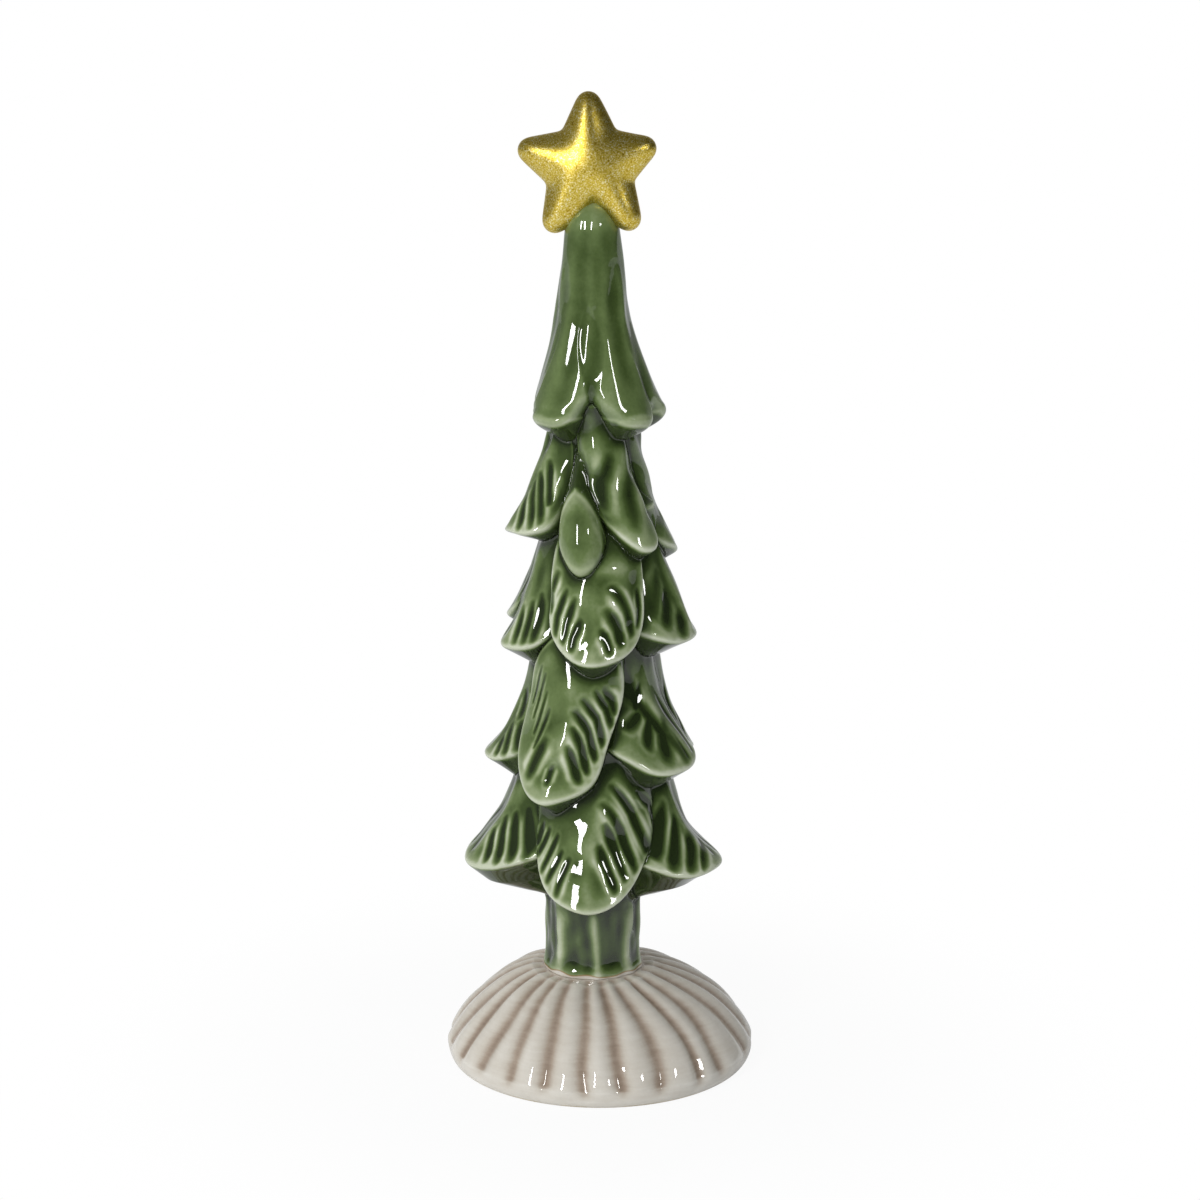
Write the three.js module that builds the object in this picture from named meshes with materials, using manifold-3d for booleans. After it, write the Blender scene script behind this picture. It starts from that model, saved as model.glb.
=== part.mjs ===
// Tabletop christmas tree in glazed ceramic, in millimetres, +Z up, front towards -Y.
// The origin is the centre of the foot ring, on the surface that the tree stands on.
// A ribbed hollow base carries a fluted trunk with a tapering core. Pressed leaves sit on the
// core in tiers, a cone with a scalloped hem closes the top, and a puffy star sits on its tip.

import * as THREE from 'three';
import { mergeVertices } from 'three/addons/utils/BufferGeometryUtils.js';
import Module from 'manifold-3d';

const wasm = await Module();
wasm.setup();

// Clearance between pieces that touch
const JOINT_GAP = 0.3;

// How far a cut reaches past the faces that it opens, and how far a joined piece runs inside
const CUT_MARGIN = 1;
const JOIN_OVERLAP = 2;
const WELD_DISTANCE = 1e-4;
const BISECTION_STEPS = 24;

// Base: a low dome, ribbed outside, hollow and open below
const BASE_RADIUS = 41.8;
const FOOT_RADIUS = 39.6;
const BULGE_HEIGHT = 4.6;
const DOME_RISE = 22.7;
const DOME_ROUND_OUT = 2.47;
const DOME_ROUND_UP = 1.26;
const BASE_WALL = 4.6;
const FOOT_RING_WIDTH = 6.5;
const FLUTE_COUNT = 24;
const FLUTE_DEPTH = 1.3;
const FLUTE_STEPS = 4;
const FLUTE_FADE_HEIGHT = 5;
const LAND_MARGIN = 1.6;
const DOME_STEPS = 6;
const FOOT_STEPS = 2;
const HOLLOW_LEAST_TURN = 0.05;

// Trunk and core
const TREE_OFFSET = -1.9;
const TRUNK_RADIUS = 13.2;
const TRUNK_FOOT_RADIUS = 13.6;
const TRUNK_RIB_COUNT = 12;
const TRUNK_RIB_DEPTH = 0.9;
const TRUNK_CLEAR_HEIGHT = 29.6;
const TRUNK_FLARE_HEIGHT = 4;
const SHOULDER_DROP = 8;
const CORE_TOP_RADIUS = 3.2;
const CORE_TOP_DEPTH = 14;
const SPIGOT_RADIUS = 8.6;
const SPIGOT_LENGTH = 7.5;
const SPIGOT_BORE_RADIUS = 4.8;
const CORE_WALL = 6;
const BORE_SIDES = 24;
const ROOT_THICKNESS = 2.2;

// Leaves: a rounded rim, then a wall that falls steeply at the sides and slopes in under the tip
const RIM_ROUND = 1.3;
const SIDE_SLOPE = 4.5;
const UNDER_SLOPE = 2.4;
const LEAF_BACK_RADIUS = 4.5;
const LEAF_FOOT_MARGIN = 1;
const LEAF_FOOT_STEP = 0.4;
const LEAF_SPOKES = 18;
const LEAF_RINGS = [0.55];

// Limits of the leaf's shape: the level under which a point lies well inside the face, how far
// the flare and the sag carry on past the rim, and the least radius that turns lengths into angles
const FACE_LEVEL = 0.3;
const FLARE_LIMIT = 1.15;
const SAG_LIMIT = 1.3;
const LEAST_TURN_RADIUS = 5;

// Star
const STAR_TIP_RADIUS = 19.4;
const STAR_WAIST_RADIUS = 8.1;
const STAR_ARM_ROUND = 3.3;
const STAR_THICKNESS = 13.4;
const STAR_ROLL = 2.5;
const STAR_RISE = 7.9;
const STAR_SPOKES = 30;
const STAR_RINGS = [0.45, 0.8, 0.95];
const STAR_ARMS = 5;

// Heights that stack from the trunk's foot upwards
const TIER_STEP_5_TO_4 = 30;
const TIER_STEP_4_TO_3 = 32.5;
const TIER_STEP_3_TO_2 = 27.5;
const TIER_STEP_2_TO_CROWN = 30.5;
const CONE_HEIGHT = 57;
const CONE_TIP_RADIUS = 6.2;
const CONE_TIP_ROUND = 7;

const DEGREE = Math.PI / 180;

// Half-dome outline of the base: radius and height for a turn from the bulge to the top
function domePoint(turn, inset) {
  const radius = (BASE_RADIUS - inset) * Math.pow(Math.cos(turn), 2 / DOME_ROUND_OUT);
  const height = BULGE_HEIGHT + (DOME_RISE - inset) * Math.pow(Math.sin(turn), 2 / DOME_ROUND_UP);
  return { radius, height };
}

// Turn at which the dome outline has narrowed to a radius
function domeTurnAt(radius, inset) {
  const share = Math.min(1, radius / (BASE_RADIUS - inset));
  return Math.acos(Math.pow(share, DOME_ROUND_OUT / 2));
}

const LAND_RADIUS = TRUNK_FOOT_RADIUS + LAND_MARGIN + Math.abs(TREE_OFFSET);
const LAND_HEIGHT = domePoint(domeTurnAt(LAND_RADIUS, 0), 0).height;
const TRUNK_FOOT = LAND_HEIGHT + JOINT_GAP;
const SOCKET_RADIUS = SPIGOT_RADIUS + JOINT_GAP;

const TIER_5_RIM = TRUNK_FOOT + TRUNK_CLEAR_HEIGHT;
const TIER_4_RIM = TIER_5_RIM + TIER_STEP_5_TO_4;
const TIER_3_RIM = TIER_4_RIM + TIER_STEP_4_TO_3;
const TIER_2_RIM = TIER_3_RIM + TIER_STEP_3_TO_2;
const CROWN_RIM = TIER_2_RIM + TIER_STEP_2_TO_CROWN;
const CONE_TOP = CROWN_RIM + CONE_HEIGHT;
const STAR_HEIGHT = CONE_TOP + STAR_RISE;

// Each tier gives its leaves the height of the rims, the length from root to rim and the root's
// radius. A leaf's azimuth is in degrees from the front, positive to the right. lean turns the tip
// away from the root, reach is the tip's distance from the axis, lift moves the rim from its
// tier's height, belly is where it is widest above the rim, round shapes the rim and shoulder
// shapes the root.
const TIERS = [
  {
    name: 'tier5', rim: TIER_5_RIM, length: 35, rootRadius: 20.5, flare: 2.4, sag: 4, shoulder: 3,
    under: 3,
    leaves: [
      { name: 'back_left', azimuth: -142, reach: 34.5, halfWidth: 20, lift: 0.6, belly: 14, round: 2.4 },
      { name: 'back_right', azimuth: 146, reach: 35, halfWidth: 19, lift: 0.6, belly: 14, round: 2.4 },
      {
        name: 'left', azimuth: -71, reach: 36, halfWidth: 23.3, lift: 3.4, belly: 11.5, round: 2.8,
        sag: 7, under: 2.5,
      },
      {
        name: 'right', azimuth: 67, reach: 36.7, halfWidth: 26.5, lift: 1.3, belly: 12, round: 2,
        sag: 7.5,
      },
      {
        name: 'front', azimuth: 5, lean: -8.5, reach: 35, halfWidth: 18.6, lift: -3.2, belly: 17,
        round: 1.9, rootRadius: 21.5, flare: 1.8, sag: 1.2, under: 4, length: 36,
      },
    ],
  },
  {
    name: 'tier4', rim: TIER_4_RIM, length: 36, rootRadius: 16, flare: 2.3, sag: 3, shoulder: 3,
    leaves: [
      { name: 'back', azimuth: 168, reach: 29, halfWidth: 17, lift: 0, belly: 12.5, round: 2.3 },
      { name: 'back_left', azimuth: -138, reach: 29, halfWidth: 16, lift: 0, belly: 12.5, round: 2.3 },
      {
        name: 'side', azimuth: 108, reach: 28.6, halfWidth: 14, lift: 0, belly: 12.5, round: 2.2,
        rootRadius: 17.5,
      },
      {
        name: 'left', azimuth: -83, reach: 29.6, halfWidth: 20.8, lift: 0.1, belly: 13.5, round: 2.1,
        sag: 6,
      },
      {
        name: 'right', azimuth: 56, reach: 30.6, halfWidth: 16, lift: 1, belly: 17.5, round: 2.8,
        sag: 4,
      },
      {
        name: 'front', azimuth: -9, lean: -14.5, reach: 30.2, halfWidth: 14.9, lift: -6, belly: 19.5,
        round: 1.85, rootRadius: 20, flare: 1.2, sag: 1, under: 2, length: 38, shoulder: 1.7,
      },
    ],
  },
  {
    name: 'tier3', rim: TIER_3_RIM, length: 36, rootRadius: 13.5, flare: 2, sag: 3, shoulder: 3,
    leaves: [
      { name: 'rear', azimuth: -165, reach: 26.4, halfWidth: 15, lift: 0.4, belly: 12, round: 2.3 },
      { name: 'back', azimuth: 140, reach: 27, halfWidth: 17, lift: 0, belly: 12, round: 2.3 },
      { name: 'back_left', azimuth: -118, reach: 25.3, halfWidth: 14, lift: 3.8, belly: 10.5, round: 2.2 },
      {
        name: 'right', azimuth: 76, reach: 28.2, halfWidth: 22, lift: 1.4, belly: 14, round: 3.7,
        rootRadius: 16, flare: 1.75, sag: 5.5,
      },
      {
        name: 'left', azimuth: -66, reach: 26, halfWidth: 15.9, lift: -1.3, belly: 9, round: 1.8,
        sag: 5,
      },
      {
        name: 'front', azimuth: 7.5, lean: -7.5, reach: 28.6, halfWidth: 14.4, lift: -0.9, belly: 12.8,
        round: 2.2, rootRadius: 19, flare: 1.6, sag: 1.2, under: 2, length: 34, shoulder: 2.6,
      },
    ],
  },
  {
    name: 'tier2', rim: TIER_2_RIM, length: 36, rootRadius: 10.5, flare: 2, sag: 3.2, shoulder: 3,
    leaves: [
      { name: 'back', azimuth: 165, reach: 23, halfWidth: 15, lift: 0, belly: 12.5, round: 2.2 },
      { name: 'back_left', azimuth: -140, reach: 22, halfWidth: 13, lift: 0, belly: 12.5, round: 2.2 },
      {
        name: 'side', azimuth: 100, reach: 23.2, halfWidth: 11, lift: -5.4, belly: 11.5, round: 2,
        rootRadius: 11.5, flare: 2.1,
      },
      {
        name: 'left', azimuth: -104, lean: 28, reach: 23.9, halfWidth: 15.3, lift: 1.9, belly: 4.8,
        round: 4.4, sag: 5, under: 4, shoulder: 2.2,
      },
      {
        name: 'right', azimuth: 10, lean: 31, reach: 23.6, halfWidth: 10, lift: -0.5, belly: 15.4,
        round: 2.2, rootRadius: 11.5, sag: 3.4, shoulder: 3.9,
      },
      {
        name: 'bud', azimuth: -16, lean: 10, reach: 24.4, halfWidth: 6.9, lift: -6.1, belly: 6.4,
        round: 1.75, rootRadius: 15.5, flare: 0.9, sag: 1.5, shoulder: 1.35, length: 13,
      },
    ],
  },
];

// Cone, and the lobes of its hem, which are shaped as leaves and run together with it
const CONE_NECK_RADIUS = 12.4;
const CONE_HEM_DROP = 1.5;
const CROWN_LOBES = [
  { azimuth: -50, reach: 19.2, halfWidth: 13, lift: 0.2, belly: 12, round: 2.3 },
  { azimuth: 45, reach: 20.2, halfWidth: 12.5, lift: -0.5, belly: 12.5, round: 2.3, flare: 1.75 },
  { azimuth: 102, reach: 20.6, halfWidth: 11, lift: 0.8, belly: 11.5, round: 2.2, flare: 1.75 },
  { azimuth: 170, reach: 19.5, halfWidth: 13, lift: 0, belly: 12, round: 2.2 },
  { azimuth: -120, reach: 17.8, halfWidth: 12.5, lift: 0, belly: 12, round: 2.2 },
];
const CROWN_TIER = {
  rim: CROWN_RIM, length: 42, rootRadius: CONE_TIP_RADIUS + 1, flare: 2, sag: 3.4, shoulder: 2.4,
};
const LOBE_BLEND = 0.9;
const CROWN_SKIRT = 8;
const CROWN_HEM_HEIGHT = 4;
const CROWN_BELLY = 12;
const CROWN_FLOOR_DEPTH = 1.5;
const CROWN_TOP_FLAT = 0.05;
const CROWN_TOP_FULLNESS = 0.98;
const CROWN_COLUMNS = 36;
const CROWN_HEM_STEPS = 7;
const CROWN_CONE_STEPS = 6;

// Sizes of one leaf: its own values, with those of its tier where it has none
function leafOf(tier, values) {
  const leaf = { lean: 0, under: UNDER_SLOPE, ...tier, ...values };
  leaf.tip = leaf.rim + leaf.lift;
  leaf.root = leaf.rim + leaf.length;
  leaf.widest = leaf.tip + leaf.belly;
  return leaf;
}

// Share of the way from the root to the rim at a height
function shareDown(leaf, height) {
  return (leaf.root - height) / (leaf.root - leaf.tip);
}

function midRadius(leaf, height) {
  const share = THREE.MathUtils.clamp(shareDown(leaf, height), 0, FLARE_LIMIT);
  return leaf.rootRadius + (leaf.reach - leaf.rootRadius) * Math.pow(share, leaf.flare);
}

function midAzimuth(leaf, height) {
  return (leaf.azimuth + leaf.lean * THREE.MathUtils.clamp(shareDown(leaf, height), 0, 1)) * DEGREE;
}

// Where a point lies against the leaf's outline: how far inside, and the wall's slope there
function rimAt(leaf, sideways, height) {
  const below = height < leaf.widest;
  const reach = below ? leaf.belly : leaf.root - leaf.widest;
  const power = below ? leaf.round : leaf.shoulder;
  const across = sideways / leaf.halfWidth;
  const along = Math.abs(height - leaf.widest) / reach;
  const level = Math.pow(Math.pow(across, power) + Math.pow(along, power), 1 / power);
  if (level < FACE_LEVEL) {
    return { inside: leaf.halfWidth / 2, slope: SIDE_SLOPE };
  }
  const scale = Math.pow(level, 1 - power);
  const slopeAcross = Math.pow(across, power - 1) / leaf.halfWidth * scale;
  const slopeAlong = Math.pow(along, power - 1) / reach * scale;
  const steepness = Math.hypot(slopeAcross, slopeAlong);
  const facingDown = below ? Math.pow(slopeAlong / steepness, 2) : 0;
  return {
    inside: (1 - level) / steepness,
    slope: THREE.MathUtils.lerp(SIDE_SLOPE, leaf.under, facingDown),
  };
}

// How far the surface has dropped from the leaf's face near and past its rim
function rimFall(inside, slope) {
  if (inside > RIM_ROUND) {
    return 0;
  }
  if (inside < -RIM_ROUND) {
    return -slope * inside;
  }
  const part = (RIM_ROUND - inside) / (2 * RIM_ROUND);
  return slope * RIM_ROUND * part * part;
}

// Outer radius of a leaf, for a sideways distance from its middle and a height
function leafRadius(leaf, sideways, height, grow) {
  const across = Math.min(SAG_LIMIT, Math.abs(sideways) / leaf.halfWidth);
  const rim = rimAt(leaf, Math.abs(sideways), height);
  const fall = rimFall(rim.inside + grow, rim.slope);
  return midRadius(leaf, height) - leaf.sag * across * across - fall + grow;
}

function polarPoint(azimuth, radius, height) {
  return [Math.sin(azimuth) * radius, -Math.cos(azimuth) * radius, height];
}

// Length along a spoke at which the test first turns true
function reachAlong(limit, test) {
  let low = 0;
  let high = limit;
  for (let step = 0; step < BISECTION_STEPS; step += 1) {
    const middle = (low + high) / 2;
    if (test(middle)) {
      high = middle;
    } else {
      low = middle;
    }
  }
  return low;
}

// Distances along one spoke of the leaf's unrolled face, from its middle out to the wall's foot
function spokeStops(leaf, spoke, grow) {
  const longest = leaf.length + leaf.reach;
  const at = (length) => [Math.abs(length * spoke.across), leaf.widest + length * spoke.up];
  const insideAt = (length) => rimAt(leaf, ...at(length)).inside + grow;
  const face = reachAlong(longest, (length) => insideAt(length) < RIM_ROUND);
  const edge = reachAlong(longest, (length) => insideAt(length) < 0);
  const wall = reachAlong(longest, (length) => insideAt(length) < -RIM_ROUND);
  const foot = reachAlong(longest, (length) => (
    leafRadius(leaf, ...at(length), grow) < LEAF_BACK_RADIUS + LEAF_FOOT_MARGIN
  ));
  const end = Math.max(foot, wall + LEAF_FOOT_STEP);
  return [...LEAF_RINGS.map((share) => share * face), face, edge, wall, end];
}

// Closed body of one leaf, from inside the core to its face, grown outwards by a clearance
function leafGeometry(leaf, grow) {
  const points = [];
  const faces = [];
  const ringCount = LEAF_RINGS.length + 4;
  const place = (sideways, height, radius) => {
    const middle = Math.max(LEAST_TURN_RADIUS, midRadius(leaf, height));
    points.push(...polarPoint(midAzimuth(leaf, height) + sideways / middle, radius, height));
  };
  place(0, leaf.widest, leafRadius(leaf, 0, leaf.widest, grow));
  place(0, leaf.widest, LEAF_BACK_RADIUS);
  for (let index = 0; index < LEAF_SPOKES; index += 1) {
    const angle = (index + 0.5) / LEAF_SPOKES * 2 * Math.PI;
    const spoke = { across: Math.sin(angle), up: Math.cos(angle) };
    const stops = spokeStops(leaf, spoke, grow);
    for (const stop of stops) {
      const sideways = stop * spoke.across;
      const height = leaf.widest + stop * spoke.up;
      place(sideways, height, leafRadius(leaf, sideways, height, grow));
    }
    const last = stops[stops.length - 1];
    place(last * spoke.across, leaf.widest + last * spoke.up, LEAF_BACK_RADIUS);
  }
  const row = ringCount + 1;
  for (let index = 0; index < LEAF_SPOKES; index += 1) {
    const here = 2 + index * row;
    const next = 2 + ((index + 1) % LEAF_SPOKES) * row;
    faces.push(0, next, here);
    for (let ring = 0; ring < ringCount; ring += 1) {
      faces.push(here + ring, next + ring, next + ring + 1);
      faces.push(here + ring, next + ring + 1, here + ring + 1);
    }
    faces.push(1, here + ringCount, next + ringCount);
  }
  return indexedGeometry(points, faces);
}

function indexedGeometry(points, faces) {
  const geometry = new THREE.BufferGeometry();
  geometry.setAttribute('position', new THREE.Float32BufferAttribute(points, 3));
  geometry.setIndex(faces);
  return geometry;
}

// Closed body of stacked rings, with a flat cap below and above
function stackedRings(heights, columns, radiusAt) {
  const points = [];
  const faces = [];
  for (const height of heights) {
    for (let column = 0; column < columns; column += 1) {
      const azimuth = column / columns * 2 * Math.PI;
      points.push(...polarPoint(azimuth, radiusAt(azimuth, height), height));
    }
  }
  const last = (heights.length - 1) * columns;
  for (let level = 0; level < heights.length - 1; level += 1) {
    for (let column = 0; column < columns; column += 1) {
      const right = (column + 1) % columns;
      const here = level * columns;
      faces.push(here + column, here + right, here + columns + right);
      faces.push(here + column, here + columns + right, here + columns + column);
    }
  }
  points.push(0, 0, heights[0]);
  points.push(0, 0, heights[heights.length - 1]);
  const bottom = heights.length * columns;
  for (let column = 0; column < columns; column += 1) {
    const right = (column + 1) % columns;
    faces.push(bottom, right, column);
    faces.push(bottom + 1, last + column, last + right);
  }
  return indexedGeometry(points, faces);
}

function toSolid(geometry) {
  const bare = geometry.clone();
  bare.deleteAttribute('normal');
  bare.deleteAttribute('uv');
  const merged = mergeVertices(bare, WELD_DISTANCE);
  const mesh = new wasm.Mesh({
    numProp: 3,
    vertProperties: new Float32Array(merged.attributes.position.array),
    triVerts: new Uint32Array(merged.index.array),
  });
  return new wasm.Manifold(mesh);
}

function toGeometry(solid) {
  const mesh = solid.getMesh();
  return indexedGeometry(Array.from(mesh.vertProperties), Array.from(mesh.triVerts));
}

// The largest separate body of a solid, without slivers that a cut leaves
function largestBody(solid) {
  const bodies = solid.decompose();
  return bodies.reduce((best, body) => (body.volume() > best.volume() ? body : best));
}

// Profile of trunk and core as height and radius pairs, grown outwards by a clearance
function coreProfile(grow) {
  const coreTop = CONE_TOP - CORE_TOP_DEPTH;
  const shoulder = TIERS[0].rootRadius - ROOT_THICKNESS;
  const points = [
    [TRUNK_FOOT, TRUNK_FOOT_RADIUS],
    [TRUNK_FOOT + TRUNK_FLARE_HEIGHT, TRUNK_RADIUS],
    [TIER_5_RIM - SHOULDER_DROP, TRUNK_RADIUS],
    [TIER_5_RIM, shoulder],
  ];
  for (const tier of TIERS) {
    points.push([tier.rim + tier.length - SHOULDER_DROP, tier.rootRadius - ROOT_THICKNESS]);
  }
  points.push([coreTop, CORE_TOP_RADIUS]);
  return points.map(([height, radius]) => [height, radius + grow]);
}

function profileRadius(profile, height) {
  for (let index = 1; index < profile.length; index += 1) {
    const [high, outer] = profile[index];
    if (height <= high) {
      const [low, inner] = profile[index - 1];
      return THREE.MathUtils.mapLinear(height, low, high, inner, outer);
    }
  }
  return profile[profile.length - 1][1];
}

// Ribs fade out where the trunk widens into the shoulder
function trunkRib(azimuth, height) {
  const fade = THREE.MathUtils.smoothstep(height, TIER_5_RIM - SHOULDER_DROP, TIER_5_RIM);
  return TRUNK_RIB_DEPTH * (1 - fade) * 0.5 * (Math.cos(TRUNK_RIB_COUNT * azimuth) - 1);
}

function coreSolid(grow) {
  const profile = coreProfile(grow);
  const heights = profile.map(([height]) => height);
  heights[0] -= grow;
  heights[heights.length - 1] += grow;
  return toSolid(stackedRings(heights, TRUNK_RIB_COUNT * 4, (azimuth, height) => {
    const clamped = Math.max(height, profile[0][0]);
    return profileRadius(profile, clamped) + trunkRib(azimuth, height);
  }));
}

function lathe(points, segments) {
  const outline = points.map(([radius, height]) => new THREE.Vector2(radius, height));
  const geometry = new THREE.LatheGeometry(outline, segments);
  geometry.rotateX(Math.PI / 2);
  return geometry;
}

// The casting's hollow, open below through the spigot and closed in the second tier
function coreHollow() {
  const mouth = TRUNK_FOOT - SPIGOT_LENGTH - CUT_MARGIN;
  const throat = TRUNK_FOOT + CUT_MARGIN;
  const points = [[0, mouth], [SPIGOT_BORE_RADIUS, mouth], [SPIGOT_BORE_RADIUS, throat]];
  const inner = coreProfile(-CORE_WALL).slice(1, -1);
  for (const [height, radius] of inner) {
    points.push([radius, height]);
  }
  const [lastRadius, lastHeight] = points[points.length - 1];
  points.push([0, lastHeight + lastRadius]);
  return toSolid(lathe(points, BORE_SIDES));
}

function trunkColumn() {
  const bottom = TRUNK_FOOT - SPIGOT_LENGTH;
  const inside = TRUNK_FOOT + JOIN_OVERLAP;
  const outline = [[0, bottom], [SPIGOT_RADIUS, bottom], [SPIGOT_RADIUS, inside], [0, inside]];
  return coreSolid(0).add(toSolid(lathe(outline, BORE_SIDES))).subtract(coreHollow());
}

// Smooth highest value of the lobes, so that they run together in soft valleys
function softHighest(values, blend) {
  const highest = Math.max(...values);
  const total = values.reduce((sum, value) => sum + Math.exp((value - highest) / blend), 0);
  return highest + blend * Math.log(total);
}

function angleBetween(a, b) {
  return Math.atan2(Math.sin(a - b), Math.cos(a - b));
}

// Radius of the plain cone, which ends in a small step just under the hem
function coneRadius(height) {
  const hem = CROWN_RIM + CONE_HEM_DROP;
  const radius = THREE.MathUtils.mapLinear(height, hem, CONE_TOP, CONE_NECK_RADIUS, CONE_TIP_RADIUS);
  return radius - UNDER_SLOPE * Math.max(0, hem - height);
}

function crownSolid(lobes, grow) {
  const low = CROWN_RIM - CROWN_SKIRT;
  const hem = CROWN_RIM + CROWN_HEM_HEIGHT;
  const belly = CROWN_RIM + CROWN_BELLY;
  const top = CONE_TOP + grow;
  const heights = [];
  for (let step = 0; step < CROWN_HEM_STEPS; step += 1) {
    heights.push(THREE.MathUtils.lerp(low, hem, step / CROWN_HEM_STEPS));
  }
  heights.push(hem, (hem + belly) / 2, belly);
  for (let step = 1; step <= CROWN_CONE_STEPS; step += 1) {
    const share = Math.sin(step / CROWN_CONE_STEPS * Math.PI / 2);
    heights.push(THREE.MathUtils.lerp(belly, top - CROWN_TOP_FLAT, share));
  }
  const core = coreProfile(0);
  const radiusAt = (azimuth, height) => {
    const radii = lobes.map((lobe) => {
      const turn = angleBetween(azimuth, lobe.azimuth * DEGREE);
      const middle = Math.max(LEAST_TURN_RADIUS, midRadius(lobe, height));
      return leafRadius(lobe, turn * middle, height, grow);
    });
    const floor = profileRadius(core, height) - CROWN_FLOOR_DEPTH;
    const outer = softHighest([...radii, coneRadius(height) + grow, floor], LOBE_BLEND);
    const up = THREE.MathUtils.clamp((height - (top - CONE_TIP_ROUND)) / CONE_TIP_ROUND, 0, 1);
    return outer * Math.sqrt(1 - up * up * CROWN_TOP_FULLNESS);
  };
  return toSolid(stackedRings(heights, CROWN_COLUMNS, radiusAt));
}

// Base: outside with ribs, from the foot over the bulge to the flat land under the trunk
function baseOutside() {
  const rows = [];
  for (let step = 0; step < FOOT_STEPS; step += 1) {
    const turn = step / FOOT_STEPS * Math.PI / 2;
    const radius = FOOT_RADIUS + (BASE_RADIUS - FOOT_RADIUS) * Math.sin(turn);
    rows.push({ radius, height: BULGE_HEIGHT * (1 - Math.cos(turn)), depth: 0 });
  }
  const landTurn = domeTurnAt(LAND_RADIUS, 0);
  for (let step = 0; step <= DOME_STEPS; step += 1) {
    const point = domePoint(landTurn * step / DOME_STEPS, 0);
    const climb = THREE.MathUtils.smoothstep(point.height, BULGE_HEIGHT, BULGE_HEIGHT + FLUTE_FADE_HEIGHT);
    rows.push({ ...point, depth: FLUTE_DEPTH * climb });
  }
  const columns = FLUTE_COUNT * FLUTE_STEPS;
  const heights = rows.map((row) => row.height);
  return toSolid(stackedRings(heights, columns, (azimuth, height) => {
    const row = rows[heights.indexOf(height)];
    return row.radius + row.depth * 0.5 * (Math.cos(FLUTE_COUNT * azimuth) - 1);
  }));
}

function baseHollow() {
  const inner = FOOT_RADIUS - FOOT_RING_WIDTH;
  const points = [[0, -CUT_MARGIN], [inner, -CUT_MARGIN], [inner, 0]];
  const start = Math.max(domeTurnAt(inner, BASE_WALL), HOLLOW_LEAST_TURN);
  for (let step = 0; step <= DOME_STEPS; step += 1) {
    const turn = THREE.MathUtils.lerp(start, Math.PI / 2, step / DOME_STEPS);
    const point = domePoint(turn, BASE_WALL);
    const radius = step === DOME_STEPS ? 0 : Math.min(point.radius, inner);
    points.push([radius, Math.min(point.height, LAND_HEIGHT - BASE_WALL)]);
  }
  return toSolid(lathe(points, FLUTE_COUNT * 2));
}

function socketSolid() {
  const low = LAND_HEIGHT - BASE_WALL - CUT_MARGIN;
  const high = LAND_HEIGHT + CUT_MARGIN;
  const points = [[0, low], [SOCKET_RADIUS, low], [SOCKET_RADIUS, high], [0, high]];
  const socket = lathe(points, BORE_SIDES);
  socket.translate(TREE_OFFSET, 0, 0);
  return toSolid(socket);
}

// Star: two puffed faces with a ridge along each arm, meeting in a rounded outline. The outline
// runs at the arm's rounding around a sharp star, whose notches lie at the waist radius.
function outsideSharpStar(across, up) {
  const sector = 2 * Math.PI / STAR_ARMS;
  const angle = Math.atan2(across, up);
  const folded = Math.abs(angle - sector * Math.round(angle / sector));
  const reach = Math.hypot(across, up);
  const tip = new THREE.Vector2(0, STAR_TIP_RADIUS - STAR_ARM_ROUND);
  const notch = new THREE.Vector2(Math.sin(sector / 2), Math.cos(sector / 2));
  const waist = notch.multiplyScalar(STAR_WAIST_RADIUS);
  const point = new THREE.Vector2(Math.sin(folded), Math.cos(folded)).multiplyScalar(reach).sub(tip);
  const edge = waist.sub(tip).normalize();
  if (point.dot(edge) < 0) {
    return point.length();
  }
  return point.x * -edge.y + point.y * edge.x;
}

function starReach(angle) {
  return reachAlong(STAR_TIP_RADIUS + 1, (length) => (
    outsideSharpStar(Math.sin(angle) * length, Math.cos(angle) * length) > STAR_ARM_ROUND
  ));
}

function starPuff(across, up) {
  const middle = STAR_ARM_ROUND - outsideSharpStar(0, 0);
  const share = (STAR_ARM_ROUND - outsideSharpStar(across, up)) / middle;
  return STAR_THICKNESS / 2 * Math.sqrt(Math.max(0, 1 - Math.pow(1 - share, 2)));
}

function starGeometry() {
  const points = [0, -STAR_THICKNESS / 2, 0, 0, STAR_THICKNESS / 2, 0];
  const faces = [];
  for (let index = 0; index < STAR_SPOKES; index += 1) {
    const angle = index / STAR_SPOKES * 2 * Math.PI;
    const reach = starReach(angle);
    const place = (share, side) => {
      const across = Math.sin(angle) * reach * share;
      const up = Math.cos(angle) * reach * share;
      points.push(across, side * starPuff(across, up), up);
    };
    STAR_RINGS.forEach((share) => place(share, -1));
    place(1, 0);
    [...STAR_RINGS].reverse().forEach((share) => place(share, 1));
  }
  const row = STAR_RINGS.length * 2 + 1;
  for (let index = 0; index < STAR_SPOKES; index += 1) {
    const here = 2 + index * row;
    const next = 2 + ((index + 1) % STAR_SPOKES) * row;
    faces.push(0, next, here);
    for (let ring = 0; ring < row - 1; ring += 1) {
      faces.push(here + ring, next + ring + 1, here + ring + 1);
      faces.push(here + ring, next + ring, next + ring + 1);
    }
    faces.push(1, here + row - 1, next + row - 1);
  }
  const geometry = indexedGeometry(points, faces);
  geometry.rotateY(-STAR_ROLL * DEGREE);
  geometry.translate(0, 0, STAR_HEIGHT);
  return geometry;
}

const COLOURS = {
  green: { color: 0x4f6b3a, roughness: 0.15, metalness: 0 },
  paleGreen: { color: 0x5f7c48, roughness: 0.15, metalness: 0 },
  greige: { color: 0xc9c0b4, roughness: 0.25, metalness: 0 },
  gold: { color: 0xb8963c, roughness: 0.35, metalness: 1 },
};

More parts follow.
